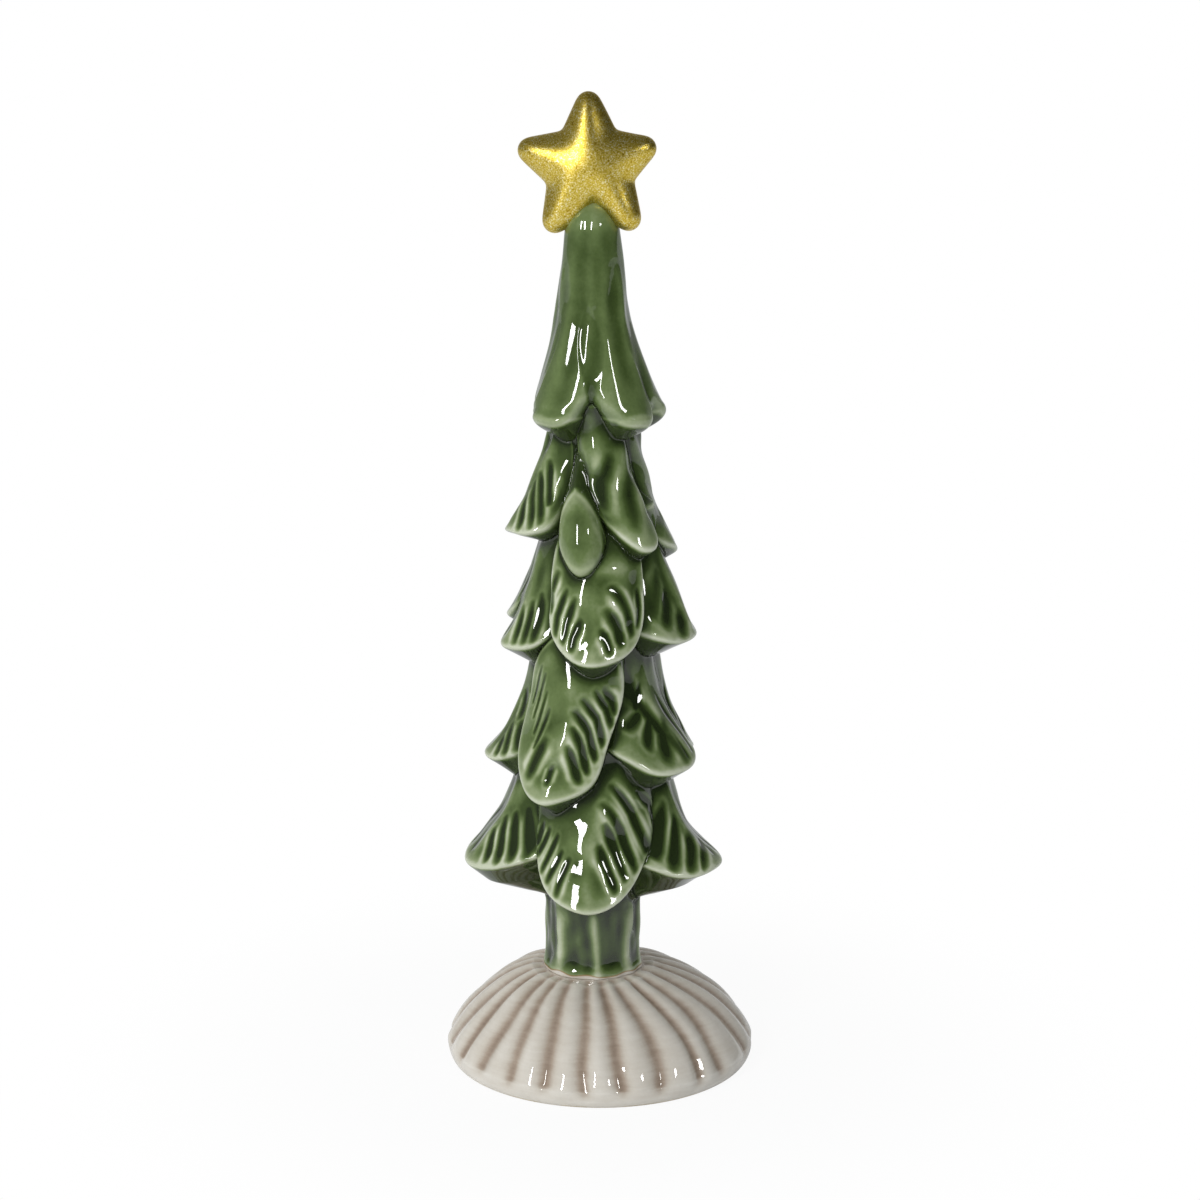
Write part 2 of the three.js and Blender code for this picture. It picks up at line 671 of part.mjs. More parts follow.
function addPiece(group, name, solid, look) {
  const mesh = new THREE.Mesh(toGeometry(solid), new THREE.MeshStandardMaterial(look));
  mesh.name = name;
  group.add(mesh);
}

const object = new THREE.Group();
const tree = new THREE.Group();
tree.position.x = TREE_OFFSET;
object.add(tree);

const base = baseOutside().subtract(baseHollow()).subtract(socketSolid());
addPiece(object, 'base_dome', largestBody(base), COLOURS.greige);
addPiece(tree, 'trunk_column', trunkColumn(), COLOURS.green);

// Leaves go on from the bottom tier up, and each is cut clear of the core and of those before it
const coreClearance = coreSolid(JOINT_GAP);
const laid = [];
for (const tier of TIERS) {
  for (const values of tier.leaves) {
    const leaf = leafOf(tier, values);
    let body = toSolid(leafGeometry(leaf, 0)).subtract(coreClearance);
    for (const other of laid) {
      body = body.subtract(other);
    }
    addPiece(tree, `leaf_${tier.name}_${values.name}`, largestBody(body), COLOURS.paleGreen);
    laid.push(toSolid(leafGeometry(leaf, JOINT_GAP)));
  }
}

const lobes = CROWN_LOBES.map((values) => leafOf(CROWN_TIER, values));
let crown = crownSolid(lobes, 0).subtract(coreClearance);
for (const other of laid) {
  crown = crown.subtract(other);
}
addPiece(tree, 'crown_cone', largestBody(crown), COLOURS.green);

const star = toSolid(starGeometry()).subtract(crownSolid(lobes, JOINT_GAP));
addPiece(tree, 'gold_star', largestBody(star), COLOURS.gold);

export default object;
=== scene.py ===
# Looks of the glazed ceramic tabletop tree. Sizes in the script are in millimetres unless a name
# ends in _M, the leaves' angles are in degrees, and meshes are written in metres in the frame of
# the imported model.
# The tree's skin is one fine surface around its axis: for every azimuth and height the highest of
# the column, the cone and the leaves, run together as glaze runs into a corner. It is then divided
# along the creases into one closed piece for each leaf, the trunk and the crown.
import math

import bpy
import numpy as np
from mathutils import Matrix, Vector


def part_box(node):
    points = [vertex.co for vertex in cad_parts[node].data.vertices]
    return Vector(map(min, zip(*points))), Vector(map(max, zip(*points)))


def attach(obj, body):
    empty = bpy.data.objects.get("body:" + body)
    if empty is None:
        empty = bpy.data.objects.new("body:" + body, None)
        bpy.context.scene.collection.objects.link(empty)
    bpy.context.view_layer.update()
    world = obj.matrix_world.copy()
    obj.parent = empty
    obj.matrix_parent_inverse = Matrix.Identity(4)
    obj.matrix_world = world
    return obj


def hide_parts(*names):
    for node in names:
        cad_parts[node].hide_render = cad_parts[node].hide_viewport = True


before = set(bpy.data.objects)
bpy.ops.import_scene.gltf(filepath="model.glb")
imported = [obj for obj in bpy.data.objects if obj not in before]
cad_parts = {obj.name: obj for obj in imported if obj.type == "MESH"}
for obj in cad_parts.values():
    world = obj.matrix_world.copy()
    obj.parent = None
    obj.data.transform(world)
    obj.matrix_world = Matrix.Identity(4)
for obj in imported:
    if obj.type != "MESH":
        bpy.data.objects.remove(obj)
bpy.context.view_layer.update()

MM = 0.001
TURN = 2 * math.pi


def top_of(node):
    """Highest point of a CAD node in millimetres."""
    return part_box(node)[1].z / MM


# Clearance, base and trunk
JOINT_GAP = 0.3
BASE_RADIUS = 41.8
FOOT_RADIUS = 39.6
BULGE_HEIGHT = 4.6
DOME_RISE = 22.7
DOME_ROUND_OUT = 2.47
DOME_ROUND_UP = 1.26
BASE_WALL = 4.6
FOOT_RING_WIDTH = 6.5
LAND_HEIGHT = top_of("base_dome")
TRUNK_FOOT = LAND_HEIGHT + JOINT_GAP
TREE_OFFSET = -1.9
TREE_AXIS = np.array([TREE_OFFSET, 0, 0])
TRUNK_RADIUS = 13.2
TRUNK_FOOT_RADIUS = 13.6
TRUNK_FLARE_HEIGHT = 4
TRUNK_CLEAR_HEIGHT = 29.6
SHOULDER_DROP = 8
SPIGOT_RADIUS = 8.6
SPIGOT_LENGTH = 7.5
SPIGOT_BORE_RADIUS = 4.8
BORE_DEPTH = 30
ROOT_THICKNESS = 2.2
CORE_TOP_RADIUS = 3.2
CORE_TOP_DEPTH = 14

# Heights of the tiers' rims, and the cone
TIER_5 = TRUNK_FOOT + TRUNK_CLEAR_HEIGHT
TIER_4 = TIER_5 + 30
TIER_3 = TIER_4 + 32.5
TIER_2 = TIER_3 + 27.5
CROWN_RIM = TIER_2 + 30.5
CONE_TOP = CROWN_RIM + 57
CONE_TIP_RADIUS = 6.2
CONE_TIP_ROUND = 7
CONE_NECK_RADIUS = 12.4
CONE_HEM_DROP = 2.0

# Camera, solved from the photo
CAMERA_DISTANCE_M = 0.75
CAMERA_HEIGHT_M = 0.31
CAMERA_PITCH = 13.71
FOCAL_PIXELS = 2918.4
IMAGE_PIXELS = 1200
SENSOR = 36

# Leaf walls and the softness of the creases between leaves
RIM_ROUND = 0.8
TOP_SLOPE = 0.7
ROOT_SLOPE = 1.2
SIDE_SLOPE = 4.5
UNDER_SLOPE = 2.4
LOBE_ROUND = 2.6
CREASE = 0.9
UPPER_SOFTNESS = 1.6
SHOULDER_SOFTNESS = 5
LOBE_SOFTNESS = 1.2
LOBE_CREASE = 4


def press(half, depth, *paths, relief=0.66):
    """Pressed veins of one half width and depth, each a path of x and y in the photo's pixels."""
    return [(half, depth, relief, [path[k:k + 2] for k in range(0, len(path), 2)]) for path in paths]


# Veins that the photo shows on each leaf, from their upper ends down. Relief is the share of the
# depth that goes into the form, and the rest is only colour.
PHOTO_VEINS = {
    "leaf_tier5_left": press(
        0.85, 0.42, (495, 830, 487, 860), (506, 818, 504, 838, 498, 865),
        (516, 814, 516, 838, 511, 864), (529, 808, 529, 835, 525, 862)),
    "leaf_tier5_right": press(1.25, 0.42, (662, 806, 656, 856), (675, 820, 673, 868), (690, 834, 691, 871))
    + press(0.9, 0.34, (699, 838, 704, 872)),
    "leaf_tier5_front": press(
        0.75, 0.34, (541, 821, 535, 842), (547, 828, 535, 857), (557, 836, 541, 872),
        (564, 852, 548, 881), (573, 859, 556, 894))
    + press(1.0, 0.42, (609, 785, 630, 812, 647, 848), (598, 803, 620, 832, 637, 868),
            (602, 824, 616, 850, 626, 876), (600, 846, 609, 868, 615, 888))
    + press(0.8, 0.3, (636, 790, 648, 806, 653, 828)),
    "leaf_tier4_left": press(
        0.9, 0.34, (504, 737, 498, 755), (513, 724, 506, 756), (522, 722, 518, 756), (526, 692, 521, 716)),
    "leaf_tier4_right": press(1.0, 0.36, (639, 684, 634, 708), (638, 712, 629, 733), (650, 712, 646, 747))
    + press(1.7, 0.34, (663, 722, 665, 756), (684, 720, 685, 757), relief=0.5),
    "leaf_tier4_front": press(
        0.42, 0.22, (545, 667, 533, 700), (549, 676, 535, 716), (551, 692, 536, 733), (553, 707, 537, 748))
    + press(1.2, 0.36, (548, 740, 533, 774))
    + press(0.95, 0.42, (605, 689, 612, 698, 617, 714), (596, 691, 607, 706, 615, 726),
            (582, 698, 596, 716, 606, 744), (574, 709, 587, 730, 597, 756),
            (571, 726, 581, 746, 588, 768), (568, 745, 575, 762, 580, 778))
    + press(0.7, 0.3, (556, 766, 551, 784)),
    "leaf_tier3_right": press(
        1.5, 0.32, (656, 572, 653, 616), (666, 592, 664, 624), (680, 612, 683, 635), relief=0.6),
    "leaf_tier3_left": press(0.9, 0.36, (524, 607, 517, 643), (532, 602, 526, 641), (541, 594, 535, 639)),
    "leaf_tier3_front": press(
        0.9, 0.38, (558, 572, 550, 592, 549, 610), (568, 592, 557, 616, 554, 634),
        (579, 600, 567, 623, 562, 641), (583, 620, 573, 636, 570, 648))
    + press(1.0, 0.4, (611, 588, 622, 610, 630, 631), (607, 612, 615, 626, 621, 642))
    + press(0.9, 0.34, (602, 630, 607, 640, 611, 651), (637, 592, 638, 608, 636, 624)),
    "leaf_tier2_left": press(
        0.8, 0.36, (528, 497, 518, 530), (535, 484, 531, 528), (541, 474, 540, 524), (550, 462, 548, 503)),
    "leaf_tier2_right": press(1.3, 0.4, (610, 456, 604, 478, 604, 506), relief=0.4)
    + press(1.9, 0.4, (628, 470, 628, 500, 634, 528), relief=0.3),
    "leaf_tier2_bud": press(3.6, 0.3, (580, 510, 577, 550), relief=0),
}

# A leaf has these values, of its own, of its tier or of all leaves:
# azimuth of its root and lean of its tip from there,
# root_radius and reach, the radii of its root and its tip, and flare, the bend of the line between,
# length from the root down to the tier's rim, lift of the tip over the rim,
# half, its half width at the widest place, and belly, the height of that place over the tip,
# round and shoulder, how full the outline is below and above the widest place,
# sag, how far its sides lie behind the middle, tent, the crease along the middle of the face,
# puff, a swelling of the whole face, and sink, how far the upper end lies back,
# side and under, the slopes of its walls, edge, the rounding of its rim, rib, a raised midrib,
# lumps, its unevenness, and sides, where veins come from a formula: -1 on the left, 1 on the right.
ALL_LEAVES = dict(lean=0, side=SIDE_SLOPE, under=UNDER_SLOPE, edge=RIM_ROUND, rib=0.4, lumps=0.16,
                  tent=0.0, puff=0.0, sink=0.0, sides=(-1, 1))
TIERS = {
    "tier5": dict(rim=TIER_5, length=35, root_radius=20.5, flare=2.4, sag=4, shoulder=3, under=3),
    "tier4": dict(rim=TIER_4, length=36, root_radius=16, flare=2.3, sag=3, shoulder=3),
    "tier3": dict(rim=TIER_3, length=36, root_radius=13.5, flare=2, sag=3, shoulder=3),
    "tier2": dict(rim=TIER_2, length=36, root_radius=10.5, flare=2, sag=3.2, shoulder=3),
    "crown": dict(rim=CROWN_RIM, length=42, root_radius=CONE_TIP_RADIUS + 1, flare=2, sag=3.4,
                  shoulder=2.4, side=1.5, edge=LOBE_ROUND, rib=0.0, lumps=0.05, sides=()),
}


def tier(name, leaves):
    """Leaves of one tier, with the values of the tier and of all leaves filled in."""
    filled = []
    for own in leaves:
        leaf = {**ALL_LEAVES, **TIERS[name], **own}
        leaf["node"] = f"leaf_{name}_{leaf['name']}"
        leaf["tip"] = leaf["rim"] + leaf["lift"]
        leaf["root"] = leaf["rim"] + leaf["length"]
        leaf["widest"] = leaf["tip"] + leaf["belly"]
        leaf["strokes"] = PHOTO_VEINS.get(leaf["node"], [])
        filled.append(leaf)
    return filled


LEAVES = [
    *tier("tier5", [
        dict(name="back_left", azimuth=-142, reach=34.5, half=20, lift=0.6, belly=14, round=2.4),
        dict(name="back_right", azimuth=146, reach=35, half=19, lift=0.6, belly=14, round=2.4),
        dict(name="left", azimuth=-71, reach=36, half=23.3, lift=3.4, belly=11.5, round=2.8,
             sag=7, under=2.5, sides=(-1,)),
        dict(name="right", azimuth=67, reach=36.7, half=26.5, lift=1.3, belly=12, round=2,
             sag=7.5, sides=(1,)),
        dict(name="front", azimuth=5, lean=-8.5, reach=35, half=18.6, lift=-3.2, belly=17,
             round=1.9, root_radius=21.5, flare=1.8, sag=2.4, under=4, length=36, rib=0.2,
             tent=1.6, sides=()),
    ]),
    *tier("tier4", [
        dict(name="back", azimuth=168, reach=29, half=17, lift=0, belly=12.5, round=2.3),
        dict(name="back_left", azimuth=-138, reach=29, half=16, lift=0, belly=12.5, round=2.3),
        dict(name="side", azimuth=108, reach=28.6, half=14, lift=0, belly=12.5, round=2.2,
             root_radius=17.5),
        dict(name="left", azimuth=-83, reach=29.6, half=20.8, lift=0.1, belly=13.5, round=2.1,
             sag=6, sides=(-1,)),
        dict(name="right", azimuth=54, reach=30.6, half=20.5, lift=1, belly=13.6, round=2.8, sag=4,
             sides=(1,)),
        dict(name="front", azimuth=-9, lean=-14.5, reach=30.2, half=14.9, lift=-6, belly=19.5,
             round=1.85, root_radius=20, flare=1.2, sag=1, under=2, length=38, shoulder=2.2,
             rib=0.0, tent=2.0, sides=()),
    ]),
    *tier("tier3", [
        dict(name="rear", azimuth=-165, reach=26.4, half=15, lift=0.4, belly=12, round=2.3),
        dict(name="back", azimuth=140, reach=27, half=17, lift=0, belly=12, round=2.3),
        dict(name="back_left", azimuth=-118, reach=25.3, half=14, lift=3.8, belly=10.5, round=2.2),
        dict(name="right", azimuth=76, reach=28.2, half=22, lift=1.4, belly=14, round=3.7,
             root_radius=16, flare=1.75, sag=5.5, sides=(1,)),
        dict(name="left", azimuth=-66, reach=26, half=15.9, lift=-1.3, belly=9, round=1.8, sag=5,
             sides=(-1,)),
        dict(name="front", azimuth=7.5, lean=-7.5, reach=28.6, half=14.4, lift=-0.9, belly=12.8,
             round=2.2, root_radius=19, flare=1.6, sag=1.2, under=2, length=34, shoulder=2.6,
             rib=0.0, tent=2.0, sink=6, sides=()),
    ]),
    *tier("tier2", [
        dict(name="back", azimuth=165, reach=23, half=15, lift=0, belly=12.5, round=2.2),
        dict(name="back_left", azimuth=-140, reach=22, half=13, lift=0, belly=12.5, round=2.2),
        dict(name="side", azimuth=100, reach=23.2, half=11, lift=-5.4, belly=11.5, round=2,
             root_radius=11.5, flare=2.1, side=2.4, sides=(1,)),
        dict(name="left", azimuth=-104, lean=28, reach=23.9, half=15.3, lift=1.9, belly=4.8,
             round=4.4, sag=5, under=4, shoulder=2.2, side=3, sides=(-1,)),
        dict(name="right", azimuth=10, lean=31, reach=23.6, half=10, lift=-0.5, belly=15.4,
             round=2.2, root_radius=11.5, sag=3.4, shoulder=3.9, rib=0.0, side=1.5, sides=()),
        dict(name="bud", azimuth=-16, lean=10, reach=24.4, half=7.8, lift=-6.1, belly=7.4,
             round=1.9, root_radius=16.2, flare=0.9, sag=4.6, shoulder=1.3, length=14.5, rib=0.0,
             lumps=0.1, edge=2.2, side=2.6, puff=1.7, sides=()),
    ]),
]
LOBES = tier("crown", [
    dict(name="front_left", azimuth=-50, reach=19.2, half=13, lift=0.2, belly=12, round=2.3),
    dict(name="front_right", azimuth=45, reach=20.2, half=12.5, lift=0.0, belly=12.5, round=2.3,
         flare=1.75),
    dict(name="right", azimuth=102, reach=20.6, half=11, lift=0.8, belly=11.5, round=2.2,
         flare=1.75),
    dict(name="back", azimuth=170, reach=19.5, half=13, lift=0, belly=12, round=2.2),
    dict(name="left", azimuth=-120, reach=17.8, half=12.5, lift=0, belly=12, round=2.2),
])

# Fineness of the skin
COLUMNS = 640
ROW_STEP = 0.28
CONE_ROW_STEP = 0.55
CONE_ROWS_FROM = CROWN_RIM + 8
TIP_ROWS = 16
MEAN_RADIUS = 25
PIECE_DEPTH = 2.5
LOOSE_ABOVE = 10


# Curves and chance
def smooth(value, low, high):
    """Smooth step from 0 at low to 1 at high."""
    part = np.clip((value - low) / (high - low), 0, 1)
    return part * part * (3 - 2 * part)


def bell(distance, half):
    """Bell curve that is 1 in the middle and falls off about the half width away."""
    return np.exp(-((distance / half) ** 2))


def turn_from(middle, azimuth):
    """Angle from the middle round to an azimuth, the shorter way."""
    return (azimuth - middle + math.pi) % TURN - math.pi


HASH_INDEX, HASH_SEED, HASH_SPREAD = 12.9898, 78.233, 43758.5453


def chance(index, seed):
    """Repeatable number between 0 and 1 for a whole number, from the far digits of a sine."""
    raw = np.sin(index * HASH_INDEX + seed * HASH_SEED) * HASH_SPREAD
    return raw - np.floor(raw)


WAVE_COUNT = 9
WAVE_LENGTHS = (0.7, 1.4)


def waves(azimuth, height, length, seed):
    """Soft unevenness of about unit size, whole round the axis, with waves of about one length."""
    draw = np.random.default_rng(seed)
    total = np.zeros(np.broadcast(azimuth, height).shape)
    for _ in range(WAVE_COUNT):
        heading = draw.uniform(0, math.pi)
        number = TURN / (length * draw.uniform(*WAVE_LENGTHS))
        around = round(number * math.cos(heading) * MEAN_RADIUS)
        up = number * math.sin(heading)
        total += np.sin(around * azimuth + up * height + draw.uniform(0, TURN))
    return total / math.sqrt(WAVE_COUNT / 2)


def soft_highest(a, b, blend):
    """Larger of two radii, rounded where they meet."""
    share = np.clip(0.5 + 0.5 * (b - a) / blend, 0, 1)
    return a + (b - a) * share + blend * share * (1 - share) / 2


# Leaf surface
PAST_TIP = 1.15
LEAST_RADIUS = 5
BOW_LIMIT = 1.3
STEADY_LEVEL = 0.3
SIGHT_SPAN = 60
SIGHT_STEP = 0.1
FAR_AWAY = 99.0


def way_down(leaf, height):
    """Share of the way from the leaf's root, 0, to its tip, 1."""
    return (leaf["root"] - height) / (leaf["root"] - leaf["tip"])


def mid_radius(leaf, height):
    share = np.clip(way_down(leaf, height), 0, PAST_TIP)
    return leaf["root_radius"] + (leaf["reach"] - leaf["root_radius"]) * share ** leaf["flare"]


def side_place(leaf, azimuth, height, middle):
    """Distance to the right of the leaf's middle line, measured round the axis."""
    lean = leaf["lean"] * np.clip(way_down(leaf, height), 0, 1)
    return turn_from(np.radians(leaf["azimuth"] + lean), azimuth) * np.maximum(LEAST_RADIUS, middle)


def bow_of(leaf, sideways):
    """Place between the leaf's middle, 0, and its widest edge, 1, and a little past it."""
    return np.minimum(BOW_LIMIT, np.abs(sideways) / leaf["half"])


def rim_distance(leaf, across, height):
    """How far inside the leaf's outline a point lies, and how much the outline faces down or up there."""
    below = height < leaf["widest"]
    length = np.where(below, leaf["belly"], leaf["root"] - leaf["widest"])
    power = np.where(below, leaf["round"], leaf["shoulder"])
    out = across / leaf["half"]
    along = np.abs(height - leaf["widest"]) / length
    level = (out ** power + along ** power) ** (1 / power) + 1e-9
    scale = level ** (1 - power)
    slope_out = out ** (power - 1) / leaf["half"] * scale
    slope_along = along ** (power - 1) / length * scale
    steep = np.hypot(slope_out, slope_along).clip(1e-6)
    inside = np.where(level < STEADY_LEVEL, leaf["half"] / 2, (1 - level) / steep)
    facing = (slope_along / steep) ** 2
    return np.minimum(inside, leaf["half"]), np.where(below, facing, 0), np.where(below, 0, facing)


def rim_fall(inside, slope, edge):
    """Drop of a wall beyond an outline, rounded over the width of its edge."""
    part = np.clip((edge - inside) / (2 * edge), 0, 1)
    return np.where(inside < -edge, -slope * inside, slope * edge * part * part)


def seen_on(leaf, x, y):
    """Sideways place and height on the leaf's face, in millimetres, of a pixel of the photo."""
    pitch = math.radians(CAMERA_PITCH)
    distance = CAMERA_DISTANCE_M / MM
    right, up = (x - IMAGE_PIXELS / 2) / FOCAL_PIXELS, (IMAGE_PIXELS / 2 - y) / FOCAL_PIXELS
    forward = math.cos(pitch) + up * math.sin(pitch)
    toward = np.array([right, forward, up * math.cos(pitch) - math.sin(pitch)])
    away = np.arange(distance - SIGHT_SPAN, distance + SIGHT_SPAN, SIGHT_STEP)[:, None]
    start = np.array([-TREE_OFFSET, -distance, CAMERA_HEIGHT_M / MM])
    place = start + away * toward / math.cos(pitch)
    azimuth, height = np.arctan2(place[:, 0], -place[:, 1]), place[:, 2]
    middle = mid_radius(leaf, height)
    sideways = side_place(leaf, azimuth, height, middle)
    bow = bow_of(leaf, sideways)
    within = np.hypot(place[:, 0], place[:, 1]) < middle - leaf["sag"] * bow * bow
    first = int(np.argmax(within))
    return np.array([sideways[first], height[first]])


def path_distance(sideways, height, places):
    """Distance to a path, and the share of its length at the nearest place."""
    lengths = [np.linalg.norm(b - a) for a, b in zip(places, places[1:])]
    nearest = np.full(sideways.shape, FAR_AWAY)
    share = np.zeros(sideways.shape)
    before = 0
    for a, b, length in zip(places, places[1:], lengths):
        unit = (b - a) / length
        along = np.clip((sideways - a[0]) * unit[0] + (height - a[1]) * unit[1], 0, length)
        far = np.hypot(sideways - a[0] - along * unit[0], height - a[1] - along * unit[1])
        share = np.where(far < nearest, (before + along) / sum(lengths), share)
        nearest = np.minimum(nearest, far)
        before += length
    return nearest, share


# Veins read from the photo: fading at their ends, and the clay raised beside them
START_FADE = (-0.25, 0.3)
END_FADE = (-0.3, 0.2)
END_WIDTH = 0.6
FLANK_PLACE = 2
FLANK_WIDTH = 0.9
FLANK_RISE = 0.42
FLANK_CLEARANCE = 0.2
FLANK_TINT = 1.9


def stroke_depth(leaf, sideways, height):
    """Relief and colour of the veins read from the photo, with a little clay raised beside each."""
    sunk, tint, raised = (np.zeros(sideways.shape) for _ in range(3))
    for half, depth, relief, path in leaf["strokes"]:
        places = [seen_on(leaf, *pixel) for pixel in path]
        far, share = path_distance(sideways, height, places)
        ends = smooth(share, *START_FADE) * smooth(1 - share, *END_FADE)
        width = half * (END_WIDTH + (1 - END_WIDTH) * ends)
        groove = depth * ends * bell(far, width)
        sunk = np.maximum(sunk, relief * groove)
        tint = np.maximum(tint, groove)
        flank = bell(far - FLANK_PLACE * width, FLANK_WIDTH * width)
        raised = np.maximum(raised, FLANK_RISE * depth * relief * ends * ends * flank)
    raised = raised * (1 - np.clip(tint / FLANK_CLEARANCE, 0, 1))
    return sunk - raised, tint - FLANK_TINT * raised


# Veins of the leaves that the photo doesn't show: distance between them, rise of their slant, depth
# and half width, place where they start beside the midrib, and how flat their floor is. A value that
# varies is a pair: its least, and how much chance can add.
VEIN_PITCH = 4.4
VEIN_RISE = 2.4
VEIN_DEPTH = 0.34
VEIN_DEPTH_SHARE = (0.7, 0.5)
VEIN_HALF = (0.85, 0.35)
VEIN_START = (2.6, 2.5)
VEIN_FLATNESS = 2.4
VEIN_START_FADE = (-1, 1.2)
VEIN_RIM_FADE = (0.7, 2.4)
VEIN_ROOT_FADE = (13, 19)
VEIN_ROOT_SPREAD = 5


def varied(pair, luck):
    """Least value of a pair, with the share of its spread that chance adds."""
    return pair[0] + pair[1] * luck


def vein_depth(leaf, sideways, height, inside, seed):
    """Depth of the veins on unseen leaves, which run down and outwards from the midrib."""
    total = np.zeros(sideways.shape)
    for side in leaf["sides"]:
        out = side * sideways
        run = height - leaf["tip"] + VEIN_RISE * out
        phase = run / (VEIN_PITCH * math.hypot(1, VEIN_RISE))
        index = np.floor(phase + 0.5)
        luck = chance(index, seed + side)
        other = chance(index + 0.5, seed - side)
        off = (phase - index) * VEIN_PITCH
        groove = np.exp(-(np.abs(off / varied(VEIN_HALF, other)) ** VEIN_FLATNESS))
        start = varied(VEIN_START, luck)
        ends = smooth(out, *(start + place for place in VEIN_START_FADE))
        ends = ends * smooth(inside, *(place + other for place in VEIN_RIM_FADE))
        below_root = leaf["root"] - height
        ends = ends * smooth(below_root, *(place + VEIN_ROOT_SPREAD * other for place in VEIN_ROOT_FADE))
        total += VEIN_DEPTH * varied(VEIN_DEPTH_SHARE, luck) * groove * ends
    return total


# Parts of a leaf's length or rim over which its sink, walls, tent and face set in
SINK_FADE = (-0.1, 0.34)
WALL_FADE = (0.1, 0.6)
TENT_FADE = (-0.1, 0.35)
FACE_FADE = (0.5, 4)
TENT_ROUND = 0.002
RIB_HALF = 1.8
LUMP_LENGTH = 12
RIM_LUMPS = 0.4


def wall_slope(leaf, share, down, up):
    """Slope of the leaf's wall, by how much its outline faces down or up and how far down it is."""
    side = ROOT_SLOPE + (leaf["side"] - ROOT_SLOPE) * smooth(share, *WALL_FADE)
    return side + (leaf["under"] - side) * down + (TOP_SLOPE - side) * up


def tent_height(leaf, share, bow):
    """Height of the roof-like crease along the middle of a leaf's face."""
    flat_top = TENT_ROUND ** 0.5
    ridge = (np.sqrt(bow * bow + TENT_ROUND) - flat_top) / ((1 + TENT_ROUND) ** 0.5 - flat_top)
    return leaf["tent"] * (1 - ridge) * smooth(share, *TENT_FADE)


def leaf_radius(leaf, azimuth, height, seed):
    """Radius of a leaf's surface, how far inside its outline it is, and the colour of its veins."""
    share = way_down(leaf, height)
    middle = mid_radius(leaf, height) - leaf["sink"] * (1 - smooth(share, *SINK_FADE))
    sideways = side_place(leaf, azimuth, height, middle)
    inside, down, up = rim_distance(leaf, np.abs(sideways), height)
    slope = wall_slope(leaf, share, down, up)
    bow = bow_of(leaf, sideways)
    tent = tent_height(leaf, share, bow)
    puff = leaf["puff"] * np.sin(math.pi * np.clip(share, 0, 1))
    radius = middle + tent + puff - leaf["sag"] * bow * bow - rim_fall(inside, slope, leaf["edge"])
    body = smooth(inside, *FACE_FADE)
    rib = leaf["rib"] * bell(sideways, RIB_HALF) * body
    lumps = leaf["lumps"] * waves(azimuth, height, LUMP_LENGTH, seed) * (RIM_LUMPS + (1 - RIM_LUMPS) * body)
    veined = vein_depth(leaf, sideways, height, inside, seed)
    sunk, tint = stroke_depth(leaf, sideways, height)
    return radius + rib + lumps - sunk - veined, inside, tint + veined


# Column
SHOULDER = TIER_5 - SHOULDER_DROP
SHOULDER_CURVE = ((-3, 0), (0, 0.5), (2.5, 1.6), (5, 3.4))
CORE_PROFILE = [
    (TRUNK_FOOT, TRUNK_FOOT_RADIUS),
    (TRUNK_FOOT + TRUNK_FLARE_HEIGHT, TRUNK_RADIUS),
    *((SHOULDER + rise, TRUNK_RADIUS + growth) for rise, growth in SHOULDER_CURVE),
    (TIER_5, TIERS["tier5"]["root_radius"] - ROOT_THICKNESS),
    *((sizes["rim"] + sizes["length"] - SHOULDER_DROP, sizes["root_radius"] - ROOT_THICKNESS)
      for name, sizes in TIERS.items() if name != "crown"),
    (CONE_TOP - CORE_TOP_DEPTH, CORE_TOP_RADIUS),
]
TRUNK_RIBS = 9
TRUNK_RIB_HEIGHT = 0.9
RIB_SHIFT = 0.28
RIB_SWAY = 0.05
RIB_SWAY_LENGTHS = (5, 9)
RIB_HALVES = (0.09, 0.17)
RIB_STRENGTHS = (0.6, 1)
RIBS_END = TIER_5 + 6
RIBS_FADE = 8
FOOT_FADE = 5
FOOT_RELIEF = 0.35
COLUMN_LUMPS = 0.1
FOOT_BEAD = dict(height=1.1, half=0.7, size=0.12)


def trunk_ridges(azimuth, height):
    """Soft upright ridges round the trunk, from 0 between them to 1."""
    draw = np.random.default_rng(7)
    ridges = np.zeros(np.broadcast(azimuth, height).shape)
    for index in range(TRUNK_RIBS):
        middle = (index + draw.uniform(-RIB_SHIFT, RIB_SHIFT)) * TURN / TRUNK_RIBS
        length = draw.uniform(*RIB_SWAY_LENGTHS)
        middle = middle + RIB_SWAY * np.sin(height / length + draw.uniform(0, TURN))
        half = draw.uniform(*RIB_HALVES)
        ridges = np.maximum(ridges, draw.uniform(*RIB_STRENGTHS) * bell(turn_from(middle, azimuth), half))
    return ridges


def column_radius(azimuth, height):
    heights, radii = zip(*CORE_PROFILE)
    radius = np.interp(height, heights, radii)
    rising = smooth(height, TRUNK_FOOT, TRUNK_FOOT + FOOT_FADE)
    fade = smooth(RIBS_END - height, 0, RIBS_FADE) * (FOOT_RELIEF + (1 - FOOT_RELIEF) * rising)
    relief = TRUNK_RIB_HEIGHT * (trunk_ridges(azimuth, height) - 1) * fade
    bead = FOOT_BEAD["size"] * bell(height - TRUNK_FOOT - FOOT_BEAD["height"], FOOT_BEAD["half"])
    return radius + relief + bead + COLUMN_LUMPS * waves(azimuth, height, length=8, seed=11)


